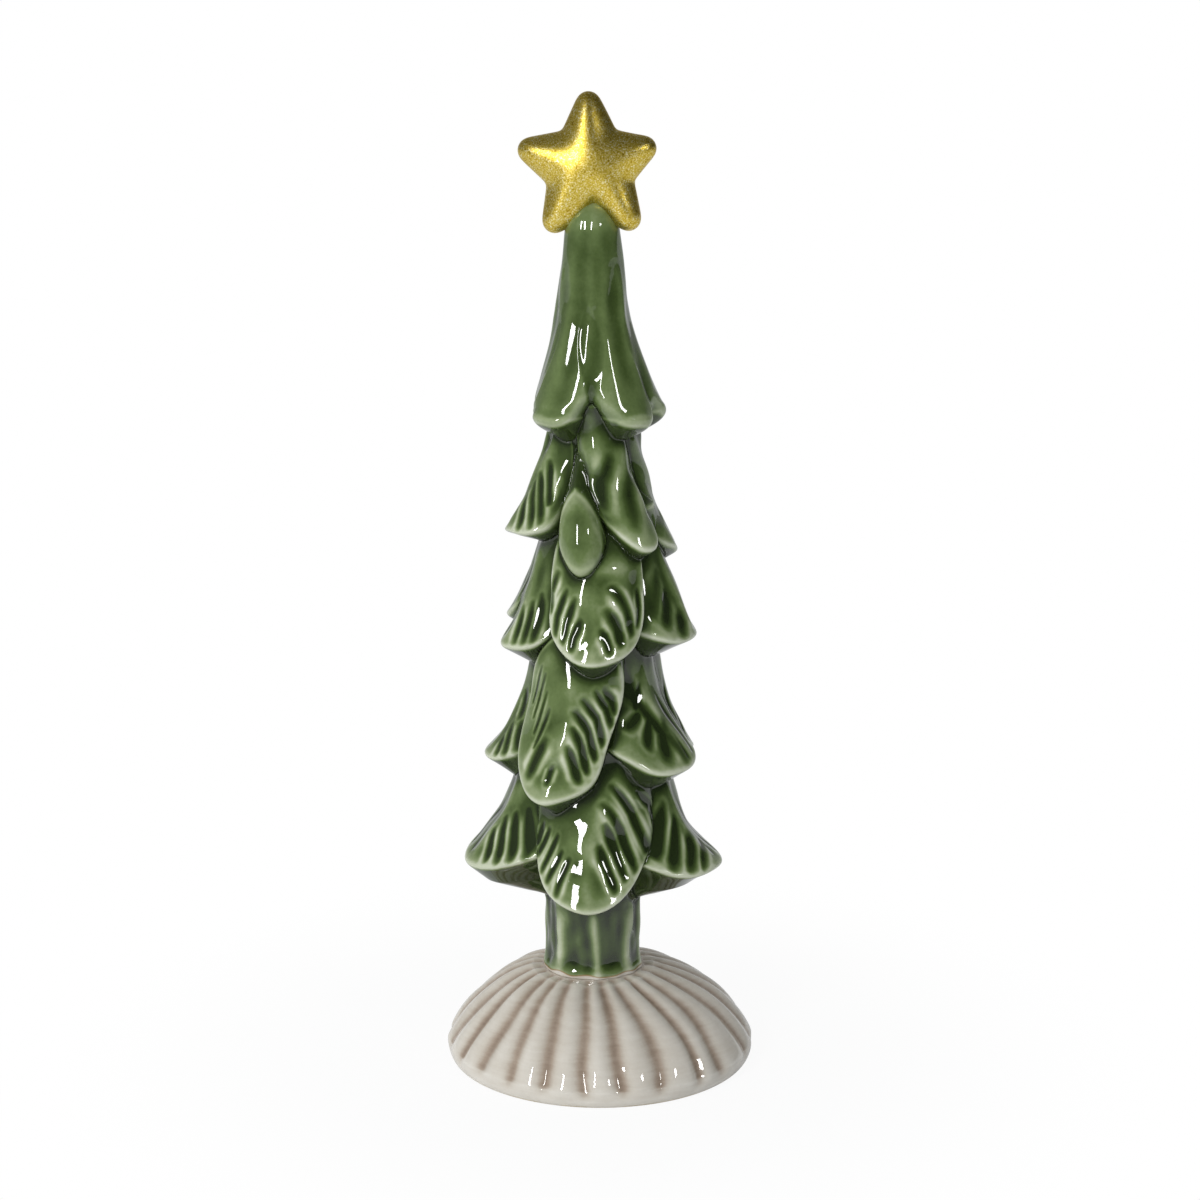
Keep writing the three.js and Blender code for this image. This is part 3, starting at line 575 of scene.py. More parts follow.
# Cone with its skirt, the notch between its front lobes and the flat place that reflects the light
SKIRT_FLARE = 2.8
SKIRT_HEIGHT = 27
SKIRT_BEND = 1.5
CROTCH_AZIMUTH = -0.06
CROTCH_DEPTH = 2.4
CROTCH_HALF = 0.15
CROTCH_LENGTH = 20
CROTCH_RISE = 3.2
CROTCH_RISE_HALF = 0.3
FOLD_DEPTH = 0.36
FOLD_STRETCH = 0.25
FOLD_FADE = (10, 40)
HEM_SHIFT = 0.4
CONE_LUMPS = 0.06
FLAT_AZIMUTH = -0.29
FLAT_HALF = 0.3
FLAT_DEPTH = 0.5
FLAT_SHARE = 0.95
CAP_FULLNESS = 0.98


def cone_radius(azimuth, height):
    crotch = turn_from(CROTCH_AZIMUTH, azimuth)
    hem = CROWN_RIM + CONE_HEM_DROP + CROTCH_RISE * bell(crotch, CROTCH_RISE_HALF)
    rise = np.clip((height - hem) / (CONE_TOP - hem), 0, 1)
    radius = CONE_NECK_RADIUS + (CONE_TIP_RADIUS - CONE_NECK_RADIUS) * rise
    radius = radius + SKIRT_FLARE * smooth(hem - height, -SKIRT_HEIGHT, 0) ** SKIRT_BEND
    radius = radius - rim_fall(height - hem - LOBE_ROUND * HEM_SHIFT, UNDER_SLOPE, LOBE_ROUND)
    folds = FOLD_DEPTH * waves(azimuth, height * FOLD_STRETCH, length=15, seed=21)
    folds = folds * smooth(CONE_TOP - height, *FOLD_FADE)
    low = smooth(hem + CROTCH_LENGTH - height, 0, CROTCH_LENGTH - 2)
    folds = folds - CROTCH_DEPTH * bell(crotch, CROTCH_HALF) * low
    flat = bell(turn_from(FLAT_AZIMUTH, azimuth), FLAT_HALF)
    lumps = CONE_LUMPS * waves(azimuth, height, length=16, seed=22)
    folds = (folds + lumps) * (1 - FLAT_SHARE * flat)
    return radius + folds - FLAT_DEPTH * flat


def cone_cap(height):
    """Share of the radius that is left in the rounded tip of the cone."""
    up = np.clip((height - (CONE_TOP - CONE_TIP_ROUND)) / CONE_TIP_ROUND, 0, 1)
    return np.sqrt(1 - CAP_FULLNESS * up * up)


# The whole skin
SKIN_START = 0.03
FAR_INSIDE = 9.0
LEAF_ROWS = (14, 9)
LOBE_ROWS = (12, 1)
LOBE_FADE = (6, 30)
FIRST_LOBE_SEED = 101
SIDE_WANDER = 0.5
UP_WANDER = 0.4
SHOULDER_FADE = (3, 6)
UPPER_FADE = (-4, 4)


def skin_rows():
    fine = np.arange(LAND_HEIGHT + SKIN_START, CONE_ROWS_FROM, ROW_STEP)
    coarse = np.arange(CONE_ROWS_FROM, CONE_TOP - CONE_TIP_ROUND, CONE_ROW_STEP)
    tip = CONE_TOP - CONE_TIP_ROUND * (1 - np.sin(np.linspace(0, math.pi / 2, TIP_ROWS)))
    return np.concatenate([fine, coarse, tip])


def rows_near(height, leaf, margins):
    """Rows of the grid that a leaf can reach, with margins below its tip and above its root."""
    return (height[:, 0] > leaf["tip"] - margins[0]) & (height[:, 0] < leaf["root"] + margins[1])


def crown_field(azimuth, height, shifted, lifted):
    """Radius of the cone with its lobes, and how far inside its hem each place is."""
    crown = cone_radius(azimuth, height)
    edge = height - CROWN_RIM - CONE_HEM_DROP + 0 * azimuth
    for number, lobe in enumerate(LOBES, FIRST_LOBE_SEED):
        rows = rows_near(height, lobe, LOBE_ROWS)
        own, inside, _ = leaf_radius(lobe, shifted[rows], lifted[rows], number)
        edge[rows] = np.maximum(edge[rows], inside)
        soft = LOBE_SOFTNESS + LOBE_CREASE * smooth(lobe["root"] - height[rows], *LOBE_FADE)
        crown[rows] = soft_highest(crown[rows], own, soft)
    return crown, edge


def skin_field():
    """Radius of the skin on the grid of rows and columns, and the piece that lies outermost."""
    height = skin_rows()[:, None]
    azimuth = (np.arange(COLUMNS) * TURN / COLUMNS)[None, :]
    shifted = azimuth + SIDE_WANDER / MEAN_RADIUS * waves(azimuth, height, length=22, seed=31)
    lifted = height + UP_WANDER * waves(azimuth, height, length=20, seed=32)
    radius = column_radius(azimuth, height)
    label = np.zeros(radius.shape, int)
    edge = np.full(radius.shape, FAR_INSIDE)
    vein = np.zeros(radius.shape)
    for number, leaf in enumerate(LEAVES, 1):
        rows = rows_near(height, leaf, LEAF_ROWS)
        own, inside, tint = leaf_radius(leaf, shifted[rows], lifted[rows], number)
        for field, value in ((label, number), (edge, inside), (vein, tint)):
            field[rows] = np.where(own > radius[rows], value, field[rows])
        soft = 1 + SHOULDER_SOFTNESS * smooth(TIER_5 - height[rows], *SHOULDER_FADE)
        soft = soft + UPPER_SOFTNESS * smooth(height[rows] - TIER_2, *UPPER_FADE)
        radius[rows] = soft_highest(radius[rows], own, CREASE * soft)
    crown, crown_edge = crown_field(azimuth, height, shifted, lifted)
    over = crown > radius
    label = np.where(over, len(LEAVES) + 1, label)
    edge = np.where(over, crown_edge, edge)
    vein = np.where(over, 0.0, vein)
    radius = soft_highest(radius, crown, CREASE) * cone_cap(height)
    return azimuth, height, radius, label, edge, vein


def on_axis(azimuth, radius, height, offset=TREE_OFFSET):
    """Points at the given azimuth, radius and height around an upright axis."""
    x = np.sin(azimuth) * radius + offset
    y = -np.cos(azimuth) * radius
    return np.stack(np.broadcast_arrays(x, y, height), -1).astype(float)


# Spreading of points over the grid, which gives soft normals and how far a place stands proud
STEADY_PULL = 0.24
LEAST_GAP = 1e-3


def spread(points, time, step):
    moved = points.copy()
    for _ in range(max(1, round(time / step))):
        right = np.roll(moved, -1, 1) - moved
        left = np.roll(right, 1, 1)
        far = np.linalg.norm(right, axis=-1, keepdims=True).clip(LEAST_GAP)
        near = np.roll(far, 1, 1)
        pull = right * np.minimum(STEADY_PULL, 2 * step / (far * (far + near)))
        pull -= left * np.minimum(STEADY_PULL, 2 * step / (near * (far + near)))
        up = moved[1:] - moved[:-1]
        rise = np.linalg.norm(up, axis=-1, keepdims=True).clip(LEAST_GAP)
        both = rise[1:] + rise[:-1]
        pull[1:-1] += up[1:] * np.minimum(STEADY_PULL, 2 * step / (rise[1:] * both))
        pull[1:-1] -= up[:-1] * np.minimum(STEADY_PULL, 2 * step / (rise[:-1] * both))
        moved += pull
    return moved


def grid_normals(points):
    around = np.roll(points, -1, 1) - np.roll(points, 1, 1)
    up = np.gradient(points, axis=0)
    normal = np.cross(around, up)
    return normal / np.linalg.norm(normal, axis=-1, keepdims=True).clip(1e-9)


def proudness(points, normals, time, step, coarse=1):
    """Mean curvature over a spread of the surface: positive on edges, negative in grooves."""
    rows = np.unique(np.append(np.arange(0, points.shape[0], coarse), points.shape[0] - 1))
    thin = points[rows][:, ::coarse]
    proud = np.einsum("ijk,ijk->ij", thin - spread(thin, time, step), normals[rows][:, ::coarse]) / time
    if coarse == 1:
        return proud
    wrapped = np.concatenate([proud, proud[:, :1]], 1)
    columns = np.arange(points.shape[1]) / coarse
    wide = np.array([np.interp(columns, np.arange(wrapped.shape[1]), line) for line in wrapped])
    everywhere = np.arange(points.shape[0])
    return np.stack([np.interp(everywhere, rows, line) for line in wide.T], 1)


# Mesh building
def make_piece(name, points, faces, materials):
    """New smooth object from points in millimetres and arrays of faces with 3 or 4 corners each."""
    mesh = bpy.data.meshes.new(name)
    sizes = np.concatenate([np.full(len(f), f.shape[1]) for f in faces])
    corners = np.concatenate([f.ravel() for f in faces])
    mesh.vertices.add(len(points))
    mesh.vertices.foreach_set("co", (np.asarray(points) * MM).astype(np.float32).ravel())
    mesh.loops.add(len(corners))
    mesh.loops.foreach_set("vertex_index", corners.astype(np.int32))
    mesh.polygons.add(len(sizes))
    starts = np.concatenate([[0], np.cumsum(sizes)[:-1]])
    mesh.polygons.foreach_set("loop_start", starts.astype(np.int32))
    mesh.polygons.foreach_set("use_smooth", np.full(len(sizes), True))
    mesh.update(calc_edges=True)
    for material in materials:
        mesh.materials.append(material)
    piece = bpy.data.objects.new(name, mesh)
    bpy.context.scene.collection.objects.link(piece)
    return piece


def set_value(piece, name, values):
    attribute = piece.data.attributes.new(name, "FLOAT", "POINT")
    attribute.data.foreach_set("value", np.asarray(values, np.float32))


def set_corner_normals(piece, corner_normals):
    attribute = piece.data.attributes.new("custom_normal", "FLOAT_VECTOR", "CORNER")
    attribute.data.foreach_set("vector", np.asarray(corner_normals, np.float32).ravel())


LABEL_PASSES = 4
LABEL_REACH = 2


def clean_labels(label):
    """Labels with frayed borders and crumbs taken away, by what most of the neighbours say."""
    for _ in range(LABEL_PASSES):
        padded = np.pad(label, ((LABEL_REACH, LABEL_REACH), (0, 0)), mode="edge")
        best = np.zeros(label.shape, int)
        winner = label.copy()
        for value in np.unique(label):
            votes = np.zeros(label.shape, int)
            hit = (padded == value).astype(int)
            for up in range(2 * LABEL_REACH + 1):
                row = hit[up:up + label.shape[0]]
                for side in range(-LABEL_REACH, LABEL_REACH + 1):
                    votes += np.roll(row, side, 1)
            better = votes > best
            best = np.where(better, votes, best)
            winner = np.where(better, value, winner)
        label = winner
    return label


def give_away(label, loose):
    """Labels in which loose cells of the column, seen between leaves, go to the leaf beside them."""
    while loose.any():
        steps = ((1, 0), (-1, 0), (1, 1), (-1, 1))
        beside = np.max([np.roll(label, step, axis) for step, axis in steps], axis=0)
        label = np.where(loose, beside, label)
        loose = loose & (label == 0)
    return label


def grid_faces(chosen, rows):
    """Corner numbers of the chosen quads of a grid that closes around, and after its last row too."""
    row, column = np.nonzero(chosen)
    columns = chosen.shape[1]
    right = (column + 1) % columns
    low = row * columns
    high = (row + 1) % rows * columns
    return np.stack([low + column, low + right, high + right, high + column], 1)


def open_edges(quads):
    """Directed edges of the quads that no other quad of them shares."""
    edges = np.concatenate([quads[:, [k, (k + 1) % 4]] for k in range(4)])
    big = int(edges.max()) + 1
    forward = edges[:, 0] * big + edges[:, 1]
    backward = edges[:, 1] * big + edges[:, 0]
    return edges[~np.isin(forward, backward)]


def loop_groups(edges):
    """Group number of each edge, where edges that share a point are in one group."""
    parent = {}

    def root(point):
        while parent.setdefault(point, point) != point:
            parent[point] = parent[parent[point]]
            point = parent[point]
        return point

    for a, b in edges.tolist():
        parent[root(a)] = root(b)
    roots = [root(a) for a in edges[:, 0].tolist()]
    numbers = {value: number for number, value in enumerate(dict.fromkeys(roots))}
    return np.array([numbers[value] for value in roots])


def moved_in(rim_points):
    """The points of a piece's rim, moved in towards the tree's axis."""
    flat = rim_points - TREE_AXIS
    distance = np.hypot(flat[:, 0], flat[:, 1])
    shrink = np.maximum(distance - PIECE_DEPTH, np.minimum(distance, 1) * 0.5) / distance
    return flat * np.stack([shrink, shrink, np.ones(len(flat))], 1) + TREE_AXIS


HUB_SHARE = 0.6


def hub_behind(ring):
    """Point behind a ring of points, between its middle and the tree's axis."""
    middle = ring.mean(0)
    axis = TREE_AXIS + [0, 0, middle[2]]
    return axis + (middle - axis) * HUB_SHARE


def flat_normals(points, faces):
    """Normal of each face, once for each of its corners."""
    a, b, c = (points[faces[:, k]] for k in range(3))
    side = np.cross(b - a, c - a)
    side /= np.linalg.norm(side, axis=1, keepdims=True).clip(1e-12)
    return np.repeat(side, faces.shape[1], 0)


def patch_piece(name, chosen, skin, materials, values):
    """Closed piece from the chosen quads of the skin, with walls inwards and a point behind them."""
    points, normals = skin
    quads = grid_faces(chosen, len(points))
    used = np.unique(quads)
    renumber = np.full(points.shape[0] * points.shape[1], -1)
    renumber[used] = np.arange(len(used))
    quads = renumber[quads]
    outer = points.reshape(-1, 3)[used]
    edges = open_edges(quads)
    rim = np.unique(edges)
    behind = np.full(len(used), -1)
    behind[rim] = len(used) + np.arange(len(rim))
    inner = moved_in(outer[rim])
    walls = np.stack([edges[:, 1], edges[:, 0], behind[edges[:, 0]], behind[edges[:, 1]]], 1)
    groups = loop_groups(edges)
    rings = [behind[np.unique(edges[groups == number])] - len(used) for number in range(groups.max() + 1)]
    hubs = np.array([hub_behind(inner[ring]) for ring in rings])
    caps = np.stack([behind[edges[:, 1]], behind[edges[:, 0]], len(used) + len(rim) + groups], 1)
    everything = np.concatenate([outer, inner, hubs])
    piece = make_piece(name, everything, [quads, walls, caps], materials)
    own_normals = normals.reshape(-1, 3)[used][quads].reshape(-1, 3)
    sides = [flat_normals(everything, faces) for faces in (walls, caps)]
    set_corner_normals(piece, np.concatenate([own_normals, *sides]))
    for key, field in values.items():
        own = field.ravel()[used]
        set_value(piece, key, np.concatenate([own, own[rim], np.zeros(len(hubs))]))
    return piece


def finish_piece(piece, slot, *nodes):
    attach(piece, "root")
    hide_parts(*nodes)


# Materials
def linear(colour):
    """Linear colour from red, green and blue of 0 to 255 as a screen shows them."""
    parts = [c / 255 for c in colour]
    parts = [p / 12.92 if p <= 0.04045 else ((p + 0.055) / 1.055) ** 2.4 for p in parts]
    return (*parts, 1)


def screen_stops(stops):
    return [(place, linear(colour)) for place, colour in stops]


def grey(level):
    return (level, level, level, 1)


class Nodes:
    """Short way to write a material's or world's nodes."""

    def __init__(self, owner):
        owner.use_nodes = True
        self.tree = owner.node_tree
        self.tree.nodes.clear()

    def add(self, kind, inputs=None, **settings):
        node = self.tree.nodes.new(kind)
        for key, value in settings.items():
            setattr(node, key, value)
        for key, value in (inputs or {}).items():
            self.put(node.inputs[key], value)
        return node

    def put(self, socket, value):
        if isinstance(value, bpy.types.NodeSocket):
            self.tree.links.new(value, socket)
        else:
            socket.default_value = value

    def finish(self, kind, inputs, output="ShaderNodeOutputMaterial"):
        """Shader that the output shows."""
        self.add(output, {"Surface": self.add(kind, inputs).outputs[0]})

    def math(self, operation, *values):
        return self.add("ShaderNodeMath", dict(enumerate(values)), operation=operation).outputs[0]

    def ramp(self, factor, stops, interpolation="EASE"):
        node = self.add("ShaderNodeValToRGB", {"Fac": factor})
        node.color_ramp.interpolation = interpolation
        elements = node.color_ramp.elements
        while len(elements) < len(stops):
            elements.new(0.5)
        for element, (place, colour) in zip(elements, stops):
            element.position = place
            element.color = colour
        return node.outputs["Color"]

    def noise(self, size, detail=2.0, vector=None, roughness=0.5):
        """Noise of about the given feature size in millimetres."""
        place = vector or self.add("ShaderNodeTexCoord").outputs["Object"]
        node = self.add("ShaderNodeTexNoise", {
            "Vector": place, "Scale": 1 / (size * MM), "Detail": detail, "Roughness": roughness,
        })
        return node.outputs["Fac"]

    def uneven(self, value, *noises):
        """A value with noises added, each with its strength."""
        for noise, strength in noises:
            around = self.math("SUBTRACT", noise, 0.5)
            value = self.math("ADD", value, self.math("MULTIPLY", around, strength))
        return value

    def bump(self, height, strength, depth):
        """Normal of a surface with bumps of the given depth in millimetres."""
        inputs = {"Strength": strength, "Distance": depth * MM, "Height": height}
        return self.add("ShaderNodeBump", inputs).outputs["Normal"]

    def mix(self, factor, a, b, blend="MIX"):
        inputs = {"Factor": factor, 6: a, 7: b}
        return self.add("ShaderNodeMix", inputs, data_type="RGBA", blend_type=blend).outputs[2]

    def attribute(self, name):
        return self.add("ShaderNodeAttribute", attribute_name=name).outputs["Fac"]


GREEN_STOPS = screen_stops([
    (0.0, (200, 206, 180)), (0.22, (154, 166, 126)), (0.45, (103, 121, 73)), (0.7, (65, 82, 39)),
    (1.0, (34, 46, 18)),
])
GREIGE_STOPS = screen_stops([
    (0.0, (226, 221, 211)), (0.35, (208, 200, 187)), (0.7, (176, 160, 144)), (1.0, (138, 120, 104)),
])
CLAY_STOPS = screen_stops([(0.3, (204, 192, 168)), (0.7, (226, 217, 198))])
GOLD_STOPS = screen_stops([(0.3, (156, 118, 12)), (0.5, (218, 192, 74)), (0.7, (255, 251, 212))])
BROWN_EDGE = linear((150, 104, 48))
EDGE_STOPS = [(0.0, grey(0)), (0.42, grey(0)), (0.5, grey(1)), (0.62, grey(0))]
EDGE_STRENGTH = 0.75
BRUSH_STRETCH = 12
GLAZE_WAVINESS = 0.12
GLAZE_GRAIN = 0.12
FLECK_SHARE = 0.86
FLECK_ROUGHNESS = 0.2
GOLD_ROUGHNESS = 0.24


def new_material(name):
    material = bpy.data.materials.new(name)
    return material, Nodes(material)


def glaze_shader(nodes, colour):
    """Coloured body under a clear glossy glaze whose surface ripples a little."""
    grain = nodes.math("MULTIPLY", nodes.noise(size=1.1, detail=2), GLAZE_GRAIN)
    ripple = nodes.math("ADD", nodes.noise(size=5, detail=1.5), grain)
    normal = nodes.bump(ripple, strength=GLAZE_WAVINESS, depth=0.25)
    nodes.finish("ShaderNodeBsdfPrincipled", {
        "Base Color": colour, "Roughness": 0.5, "IOR": 1.5, "Specular IOR Level": 0.0,
        "Coat Weight": 1.0, "Coat Roughness": 0.02, "Coat IOR": 1.6,
        "Normal": normal, "Coat Normal": normal,
    })


def green_colour(nodes):
    cloud, speckle = nodes.noise(size=7, detail=3), nodes.noise(size=0.9, detail=2)
    depth = nodes.uneven(nodes.attribute("glaze_and_shade"), (cloud, 0.3), (speckle, 0.1))
    return nodes.ramp(depth, GREEN_STOPS, "LINEAR")


def greige_colour(nodes):
    """Greige glaze, with level streaks where the brush or the wheel went round."""
    place = nodes.add("ShaderNodeNewGeometry").outputs["Position"]
    level = nodes.add("ShaderNodeVectorMath", {0: place, 1: (1, 1, BRUSH_STRETCH)}, operation="MULTIPLY")
    brush = nodes.noise(size=9, detail=2, vector=level.outputs[0])
    cloud, speckle = nodes.noise(size=7, detail=3), nodes.noise(size=0.8, detail=2)
    depth = nodes.uneven(nodes.attribute("glaze_and_shade"), (brush, 0.26), (cloud, 0.36), (speckle, 0.12))
    return nodes.ramp(depth, GREIGE_STOPS, "LINEAR")


def green_glaze():
    material, nodes = new_material("green_glaze")
    glaze_shader(nodes, green_colour(nodes))
    return material


def trunk_glaze():
    """Green glaze that ends above the base in a wavy line with a thin brown edge."""
    material, nodes = new_material("trunk_glaze")
    above = nodes.attribute("above_line")
    edge = nodes.ramp(above, EDGE_STOPS, "LINEAR")
    shade = nodes.mix(nodes.math("GREATER_THAN", above, 0.5), greige_colour(nodes), green_colour(nodes))
    glaze_shader(nodes, nodes.mix(nodes.math("MULTIPLY", edge, EDGE_STRENGTH), shade, BROWN_EDGE))
    return material


def greige_glaze():
    material, nodes = new_material("greige_glaze")
    glaze_shader(nodes, greige_colour(nodes))
    return material


def bare_clay():
    material, nodes = new_material("bare_clay")
    grain = nodes.noise(size=0.5, detail=3)
    nodes.finish("ShaderNodeBsdfPrincipled", {
        "Base Color": nodes.ramp(grain, CLAY_STOPS), "Roughness": 0.8,
        "Normal": nodes.bump(grain, strength=0.4, depth=0.1),
    })
    return material


def gold_lustre():
    """Gold with a fine sparkling grain."""
    material, nodes = new_material("gold_lustre")
    fleck = nodes.noise(size=0.4, detail=2, roughness=0.7)
    cloud = nodes.math("MULTIPLY", nodes.noise(size=2.6, detail=3), 1 - FLECK_SHARE)
    tint = nodes.math("ADD", nodes.math("MULTIPLY", fleck, FLECK_SHARE), cloud)
    nodes.finish("ShaderNodeBsdfPrincipled", {
        "Base Color": nodes.ramp(tint, GOLD_STOPS), "Metallic": 0.94,
        "Roughness": nodes.math("ADD", GOLD_ROUGHNESS, nodes.math("MULTIPLY", fleck, FLECK_ROUGHNESS)),
        "Normal": nodes.bump(tint, strength=1.0, depth=0.06),
    })
    return material


# Depth of the tree's colour, with painted shade on the leaves' walls and undersides
LINE_HEIGHT = TRUNK_FOOT + 0.45
LINE_WAVE = 0.22
LINE_SOFT = 3.2
SPREAD_STEP = 0.02
FINE_SPREAD = 0.3
WIDE_SPREAD = 3.0
MIDDLE_DEPTH = 0.73
FINE_RELIEF = dict(strength=0.28, scale=0.5)
WIDE_RELIEF = dict(strength=0.3, scale=0.14)
RIM_LINE = dict(strength=0.34, place=0.15, half=0.55, calming=0.4)
# Painted shade: the colour of the walls and undersides past a leaf's rim is made deeper by this much
WALL_PAINTED_SHADE = 0.2
WALL_FROM_EDGE = (0.1, 1.3)
SKIN_SOFTENING = 0.03
BORE_END_RADIUS = 0.3
FOOT_ROUNDING = 1.2
CROWN_CALM = 0.8
VEIN_SHADE = 1.05
VEIN_MEAN = 0.05
FLANK_SHADE = 1.5
TRUNK_SHADE = 0.52
TRUNK_MEAN = 0.37


def relief_depth(proud, look):
    return look["strength"] * np.tanh(proud / look["scale"])


def pooled_glaze_and_wall_shade(points, normals, edge, calm):
    """Share of deep colour from 0 on thin edges to 1 where glaze has pooled, plus painted shade on leaf
    walls.
    """
    fine = proudness(points, normals, FINE_SPREAD, SPREAD_STEP)
    wide = proudness(points, normals, WIDE_SPREAD, SPREAD_STEP, coarse=2)
    wall = smooth(-edge, *WALL_FROM_EDGE)
    line = bell(edge - RIM_LINE["place"], RIM_LINE["half"])
    relief = relief_depth(fine, FINE_RELIEF) + relief_depth(wide, WIDE_RELIEF)
    relief = relief * (1 - RIM_LINE["calming"] * line) * (1 - wall)
    # Painted shade deepens the colour on the walls and undersides past the rim
    change = WALL_PAINTED_SHADE * wall - relief - RIM_LINE["strength"] * line
    return MIDDLE_DEPTH + np.where(calm, CROWN_CALM, 1) * change


def spigot_rows():
    """Radius and height of the rows from the end of the spigot's bore out to the trunk's foot."""
    low = TRUNK_FOOT - SPIGOT_LENGTH
    high = low + BORE_DEPTH
    corner = 0.2
    floor = LAND_HEIGHT + 0.02
    return [
        (BORE_END_RADIUS, high), (SPIGOT_BORE_RADIUS - corner, high), (SPIGOT_BORE_RADIUS, high - corner),
        (SPIGOT_BORE_RADIUS, low + corner), (SPIGOT_BORE_RADIUS + corner, low),
        (SPIGOT_RADIUS - corner, low), (SPIGOT_RADIUS, low + corner),
        (SPIGOT_RADIUS, LAND_HEIGHT - corner), (SPIGOT_RADIUS + corner, floor),
        (TRUNK_FOOT_RADIUS - FOOT_ROUNDING, floor),
    ]


def tree_values(azimuth, points, normals, label, edge, vein):
    """Values on each point of the skin that the materials read."""
    height = points[..., 2]
    depth = pooled_glaze_and_wall_shade(points, normals, edge, label > len(LEAVES)) - VEIN_SHADE * VEIN_MEAN
    trunk = (label == 0) & (height < TIER_5)
    depth += np.where(trunk, TRUNK_SHADE * (TRUNK_MEAN - trunk_ridges(azimuth, height)), 0)
    depth += VEIN_SHADE * np.where(vein > 0, vein, FLANK_SHADE * vein)
    line = LINE_HEIGHT + LINE_WAVE * waves(azimuth, 0 * azimuth, length=14, seed=41)
    return {"glaze_and_shade": depth, "above_line": np.clip(0.5 + (height - line) / LINE_SOFT, 0, 1)}


def build_tree(materials):
    azimuth, height, radius, label, edge, vein = skin_field()
    field = spread(on_axis(azimuth, radius, height), SKIN_SOFTENING, SKIN_SOFTENING / 2)
    lower = np.array([on_axis(azimuth[0], r, z) for r, z in spigot_rows()])
    points = np.concatenate([lower, field])
    label = np.concatenate([np.zeros(lower.shape[:2], int), label])
    edge = np.concatenate([np.full(lower.shape[:2], FAR_INSIDE), edge])
    vein = np.concatenate([np.zeros(lower.shape[:2]), vein])
    normals = grid_normals(points)
    values = tree_values(azimuth, points, normals, label, edge, vein)
    label = clean_labels(label)
    label = give_away(label, (label == 0) & (points[..., 2] > TIER_5 + LOOSE_ABOVE))[:-1]
    names = ["trunk_column", *(leaf["node"] for leaf in LEAVES), "crown_cone"]
    for number, node in enumerate(names):
        material = materials["trunk" if number == 0 else "green"]
        piece = patch_piece(f"{node}_glazed", label == number, (points, normals), [material], values)
        finish_piece(piece, "green_glaze", node)


# Base
BASE_COLUMNS = 600
BASE_ROWS = 120
FLUTE_DEPTH = 1.3
FLUTE_HALF = 2.5
FLUTE_ROUND = 1.8
FLUTE_SHARE = 0.3
FLUTE_WIDTHS = (0.85, 1.15)
FLUTE_STRENGTHS = (0.8, 1)
FLUTE_LOW_ENDS = (0.6, 1.6)
FLUTE_END_FADE = (-0.2, 5)
FLUTE_TOP_FADE = (1, 6)
FLUTE_WANDER = 0.02
FLUTE_WANDER_LENGTH = 5
GROOVE_SHIFT = 1.2
FRONT_GROOVES = (-65.6, -50.4, -36.7, -22.3, -6.1, 7.8, 22.7, 39.5, 52.4, 71.5)
GROOVE_COUNT = 24
LAND_RADIUS = TRUNK_FOOT_RADIUS + 0.5
LAND_LIP = 0.15
DOME_STEPS = 900
DOME_CROWDING = 1.3
FOOT_STEPS = 200
DOME_SINK = 0.06
DOME_LUMPS = 0.05
CALM_FOOT = 3
LEAN_FROM_RADIUS = BASE_RADIUS * 0.85
LEAN_TO_RADIUS = TRUNK_FOOT_RADIUS + 3
SOCKET_RADIUS = SPIGOT_RADIUS + JOINT_GAP
SOCKET_CHAMFER = 0.8
HOLLOW_ROWS = 18
HOLLOW_START = 0.05
HOLLOW_END = 1.33
BARE_BELOW = 0.7
GROOVE_SHADE = 0.34
BASE_DEPTH = 0.31
BASE_RELIEF = dict(strength=0.32, scale=0.3)
BASE_SPREAD = 0.6
BASE_SPREAD_STEP = 0.03
UNDERSIDE_DEPTH = 0.5


def groove_azimuths():
    """Grooves read from the front, and the rest spaced evenly round the back."""
    rest = GROOVE_COUNT - len(FRONT_GROOVES)
    gap = (360 + FRONT_GROOVES[0] - FRONT_GROOVES[-1]) / (rest + 1)
    draw = np.random.default_rng(5)
    back = [
        FRONT_GROOVES[-1] + gap * (k + 1) + draw.uniform(-GROOVE_SHIFT, GROOVE_SHIFT)
        for k in range(rest)
    ]
    return np.radians([*FRONT_GROOVES, *back])


def dome_point(turn, inset):
    """Radius and height on the dome, or on one that lies inside it by the inset."""
    radius = (BASE_RADIUS - inset) * np.cos(turn) ** (2 / DOME_ROUND_OUT)
    return radius, BULGE_HEIGHT + (DOME_RISE - inset) * np.sin(turn) ** (2 / DOME_ROUND_UP)


def dome_turn(radius, outer):
    """Turn at which the dome of the given outer radius has a smaller radius."""
    return math.acos(min(1, radius / outer) ** (DOME_ROUND_OUT / 2))


def base_outline():
    """Radius and height from the land under the trunk down over the dome to the foot."""
    last = dome_turn(LAND_RADIUS, BASE_RADIUS)
    dome = np.stack(dome_point(last * np.linspace(1, 0, DOME_STEPS) ** DOME_CROWDING, 0), 1)
    dome[:, 1] = np.minimum(dome[:, 1], LAND_HEIGHT + LAND_LIP)
    quarter = np.linspace(0, math.pi / 2, FOOT_STEPS)[1:]
    width = BASE_RADIUS - FOOT_RADIUS
    foot = np.stack([FOOT_RADIUS + width * np.cos(quarter), BULGE_HEIGHT * (1 - np.sin(quarter))], 1)
    path = np.concatenate([dome, foot])
    run = np.concatenate([[0], np.cumsum(np.linalg.norm(np.diff(path, axis=0), axis=1))])
    even = np.linspace(0, run[-1], BASE_ROWS)
    return np.stack([np.interp(even, run, path[:, 0]), np.interp(even, run, path[:, 1])], 1)


